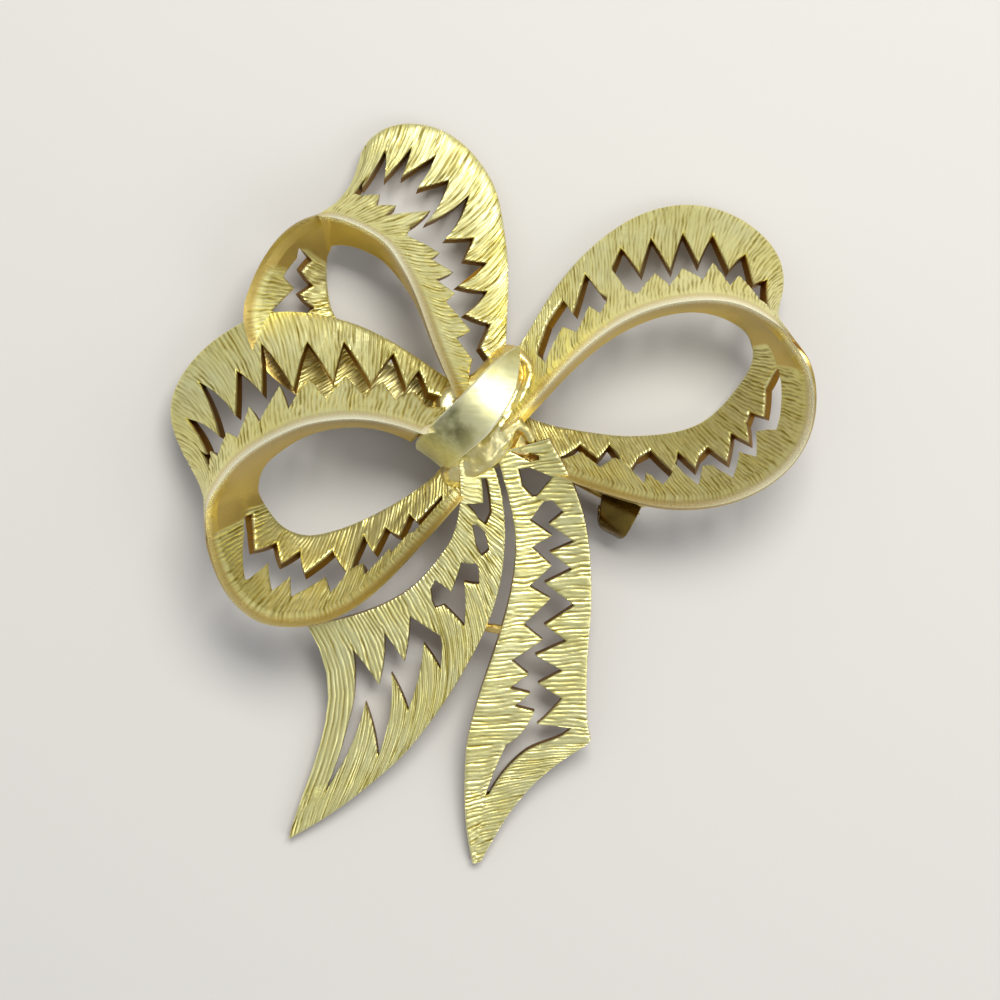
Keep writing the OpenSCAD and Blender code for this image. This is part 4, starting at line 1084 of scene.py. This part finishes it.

# %% [markdown]
# ## The strap over the waist
#
# A plain leaf-shaped strap is bent over the knot and rubbed to a satin shine. It is an arch
# of even thickness, wide at its lower end and nearly pointed at the upper one. The face is
# dished very slightly, and both long edges have a narrow bevel with a painted highlight. It is
# lofted from sections round the arch, which keeps the bevel the same width all along.

# %% Loft the strap round its arch
SINK = 1.4       # the arch goes on below its centre, in mm
BEVEL = 0.16     # width of its bright edges
DISH = 0.12      # depth of its dished face
rise = np.linspace(math.asin(-SINK / BAND_R), math.pi + math.asin(SINK / BAND_R), 140)
x = -BAND_R * np.cos(rise)
edges = [np.interp(x, strap_outline[:, 0], strap_outline[:, k]) for k in (1, 2)]
for k in (0, 1):       # the outline's few corners are rounded off along the strap
    for _ in range(20):
        edges[k][1:-1] = (edges[k][:-2] + 2 * edges[k][1:-1] + edges[k][2:]) / 4
out = strap_x * -np.cos(rise)[:, None] + UP * np.sin(rise)[:, None]
width = np.abs(edges[0] - edges[1])
bevel = np.minimum(BEVEL, width * 0.2)
slopes = [(0, -BEVEL), (0.5, -0.05), (1, 0.0)]     # share of the bevel, and how low it lies there
across = [(0, share, drop) for share, drop in slopes] \
    + [(None, share, None) for share in (0.15, 0.3, 0.5, 0.7, 0.85)] \
    + [(1, share, drop) for share, drop in slopes[::-1]]
columns = []
for side, share, drop in across:
    if side is None:
        y = edges[0] + (edges[1] - edges[0]) * share
        r = BAND_R - DISH * 4 * share * (1 - share) * np.minimum(1, width / 3)
    else:
        y = edges[side] + np.sign(edges[1 - side] - edges[side]) * bevel * share
        r = BAND_R + drop * np.minimum(1, width)
    columns.append(strap_at + out * np.broadcast_to(r, x.shape)[:, None] + strap_y * y[:, None])
for k in (1, 0):
    columns.append(strap_at + out * (BAND_R - BAND_T) + strap_y * edges[k][:, None])
count, n = len(columns), len(x)
points = np.stack(columns, 1).reshape(-1, 3)
faces = []
for a in range(count):
    strip(faces, np.ones(n - 1, bool), a, (a + 1) % count, count, 1)
ends = [list(range(count))[::-1], [(n - 1) * count + k for k in range(count)]]
mesh = bpy.data.meshes.new("knot_strap")
mesh.from_pydata((points * MM).tolist(), [], np.concatenate(faces)[:, ::-1].tolist() + ends)
# the bevels are painted pale as a highlight
bevel_highlight = [0.8, 0.9, 0.25] + [0] * (count - 8) + [0.25, 0.9, 0.8] + [0, 0]
mesh.attributes.new("polish", "FLOAT", "POINT").data.foreach_set(
    "value", np.tile(bevel_highlight, n).astype(np.float32))
knot_strap = place("knot_strap", mesh)
skin = bmesh.new()
skin.from_mesh(mesh)
bmesh.ops.recalc_face_normals(skin, faces=skin.faces)
skin.to_mesh(mesh)
skin.free()
smooth(mesh, 28)
mesh.materials.append(strap_gilt)
print("strap:", len(mesh.polygons), "faces")

# %% [markdown]
# ## The hinge, the pin and the catch
#
# These small pieces are plain and hard: a plate with two ears, a rivet, a wire pin with a
# ground point, and a strip bent into a hook. Their solids are right as they are, so each is
# copied, its loose triangles are merged, and a small bevel takes the sharpness off, because
# real metal edges always catch a thin line of light.

# %% Soften the edges of the findings
def softened(node, name, width, metal):
    """A copy of a solid with narrow bevels. width: the bevel's width in mm."""
    body = place(name, frame["nodes"][node].data.copy())
    shape = bmesh.new()
    shape.from_mesh(body.data)
    bmesh.ops.remove_doubles(shape, verts=shape.verts, dist=1e-7)
    bmesh.ops.dissolve_limit(
        shape, angle_limit=math.radians(2), verts=shape.verts, edges=shape.edges)
    shape.to_mesh(body.data)
    shape.free()
    round_off = body.modifiers.new("round_off", "BEVEL")
    round_off.width, round_off.segments = width * MM, 2
    round_off.limit_method, round_off.angle_limit = "ANGLE", math.radians(35)
    mesh = bake(body)
    smooth(mesh, 40)
    mesh.materials.clear()
    mesh.materials.append(metal)
    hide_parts(node)
    print(name, len(mesh.polygons), "faces")
    return body


# the hinge plate and the catch take the dark brass, a painted shade
plate = softened("hinge_bracket", "hinge_plate", 0.08, shade_dark_brass)
rivet = softened("hinge_rivet", "hinge_rivet_rounded", 0.06, wire_gilt)
pin = softened("pin_stem", "pin_wire", 0.05, wire_gilt)
hook = softened("catch", "catch_hook", 0.1, shade_dark_brass)

# %% What rides on what, and what stands for which solid
for piece in ribbons + [fused_core]:
    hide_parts("bow")
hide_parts("knot_band")
for piece in ribbons + [fused_core, knot_strap, plate, rivet, hook]:
    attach(piece, "brooch")
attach(pin, "pin")

# %% [markdown]
# ## Floor, light and camera
#
# The brooch lies on a plain pale floor and is seen from straight above, from about 18 cm.
# The light is a large soft window high above its upper right edge, with a weaker fill from
# below, so the furrows have a bright and a dark side while the shadows stay soft.

# %% A plain pale floor
bpy.ops.mesh.primitive_plane_add(size=1.2, location=(0, 0, 0))
floor = bpy.context.object
floor.name = "floor"
paper = bpy.data.materials.new("pale_paper")
paper.use_nodes = True
shader = paper.node_tree.nodes["Principled BSDF"]
shader.inputs["Base Color"].default_value = hex_colour("#CBC8C2")
shader.inputs["Roughness"].default_value = 0.8
floor.data.materials.append(paper)


# %% Soft lights
def soft_light(name, spot, size, watts, tint):
    lamp = bpy.data.lights.new(name, "AREA")
    lamp.shape, lamp.size, lamp.size_y, lamp.energy = "RECTANGLE", size[0], size[1], watts
    lamp.color = hex_colour(tint)[:3]
    holder = place(name, lamp)
    holder.location = spot
    holder.rotation_euler = (-Vector(spot)).to_track_quat("-Z", "Y").to_euler()


soft_light("window", (0.09, 0.21, 0.39), (0.30, 0.18), 1.95, "#FFFEFA")
soft_light("fill", (0.30, -0.20, 0.30), (0.25, 0.25), 0.35, "#F6F8FF")
world = bpy.data.worlds.new("studio")
bpy.context.scene.world = world
world.use_nodes = True
sky = world.node_tree.nodes["Background"]
sky.inputs["Color"].default_value = hex_colour("#E6E9EE")
sky.inputs["Strength"].default_value = 0.6

# %% The camera looks straight down
AIM, EYE_HEIGHT = (2.14, -7.52), 180.0     # the aim from the knot, and the height, in mm
camera = bpy.data.cameras.new("camera")
camera.lens, camera.sensor_width = 72, 36
camera.clip_start, camera.clip_end = 0.005, 5
eye = place("camera", camera)
eye.location = Vector(((knot[0] + AIM[0]) * MM, (knot[1] + AIM[1]) * MM, EYE_HEIGHT * MM))
bpy.context.scene.camera = eye
bpy.context.scene.view_settings.view_transform = "Standard"
print("camera in mm:", [round(c / MM, 2) for c in eye.location])

# %% Update the scene
bpy.context.view_layer.update()
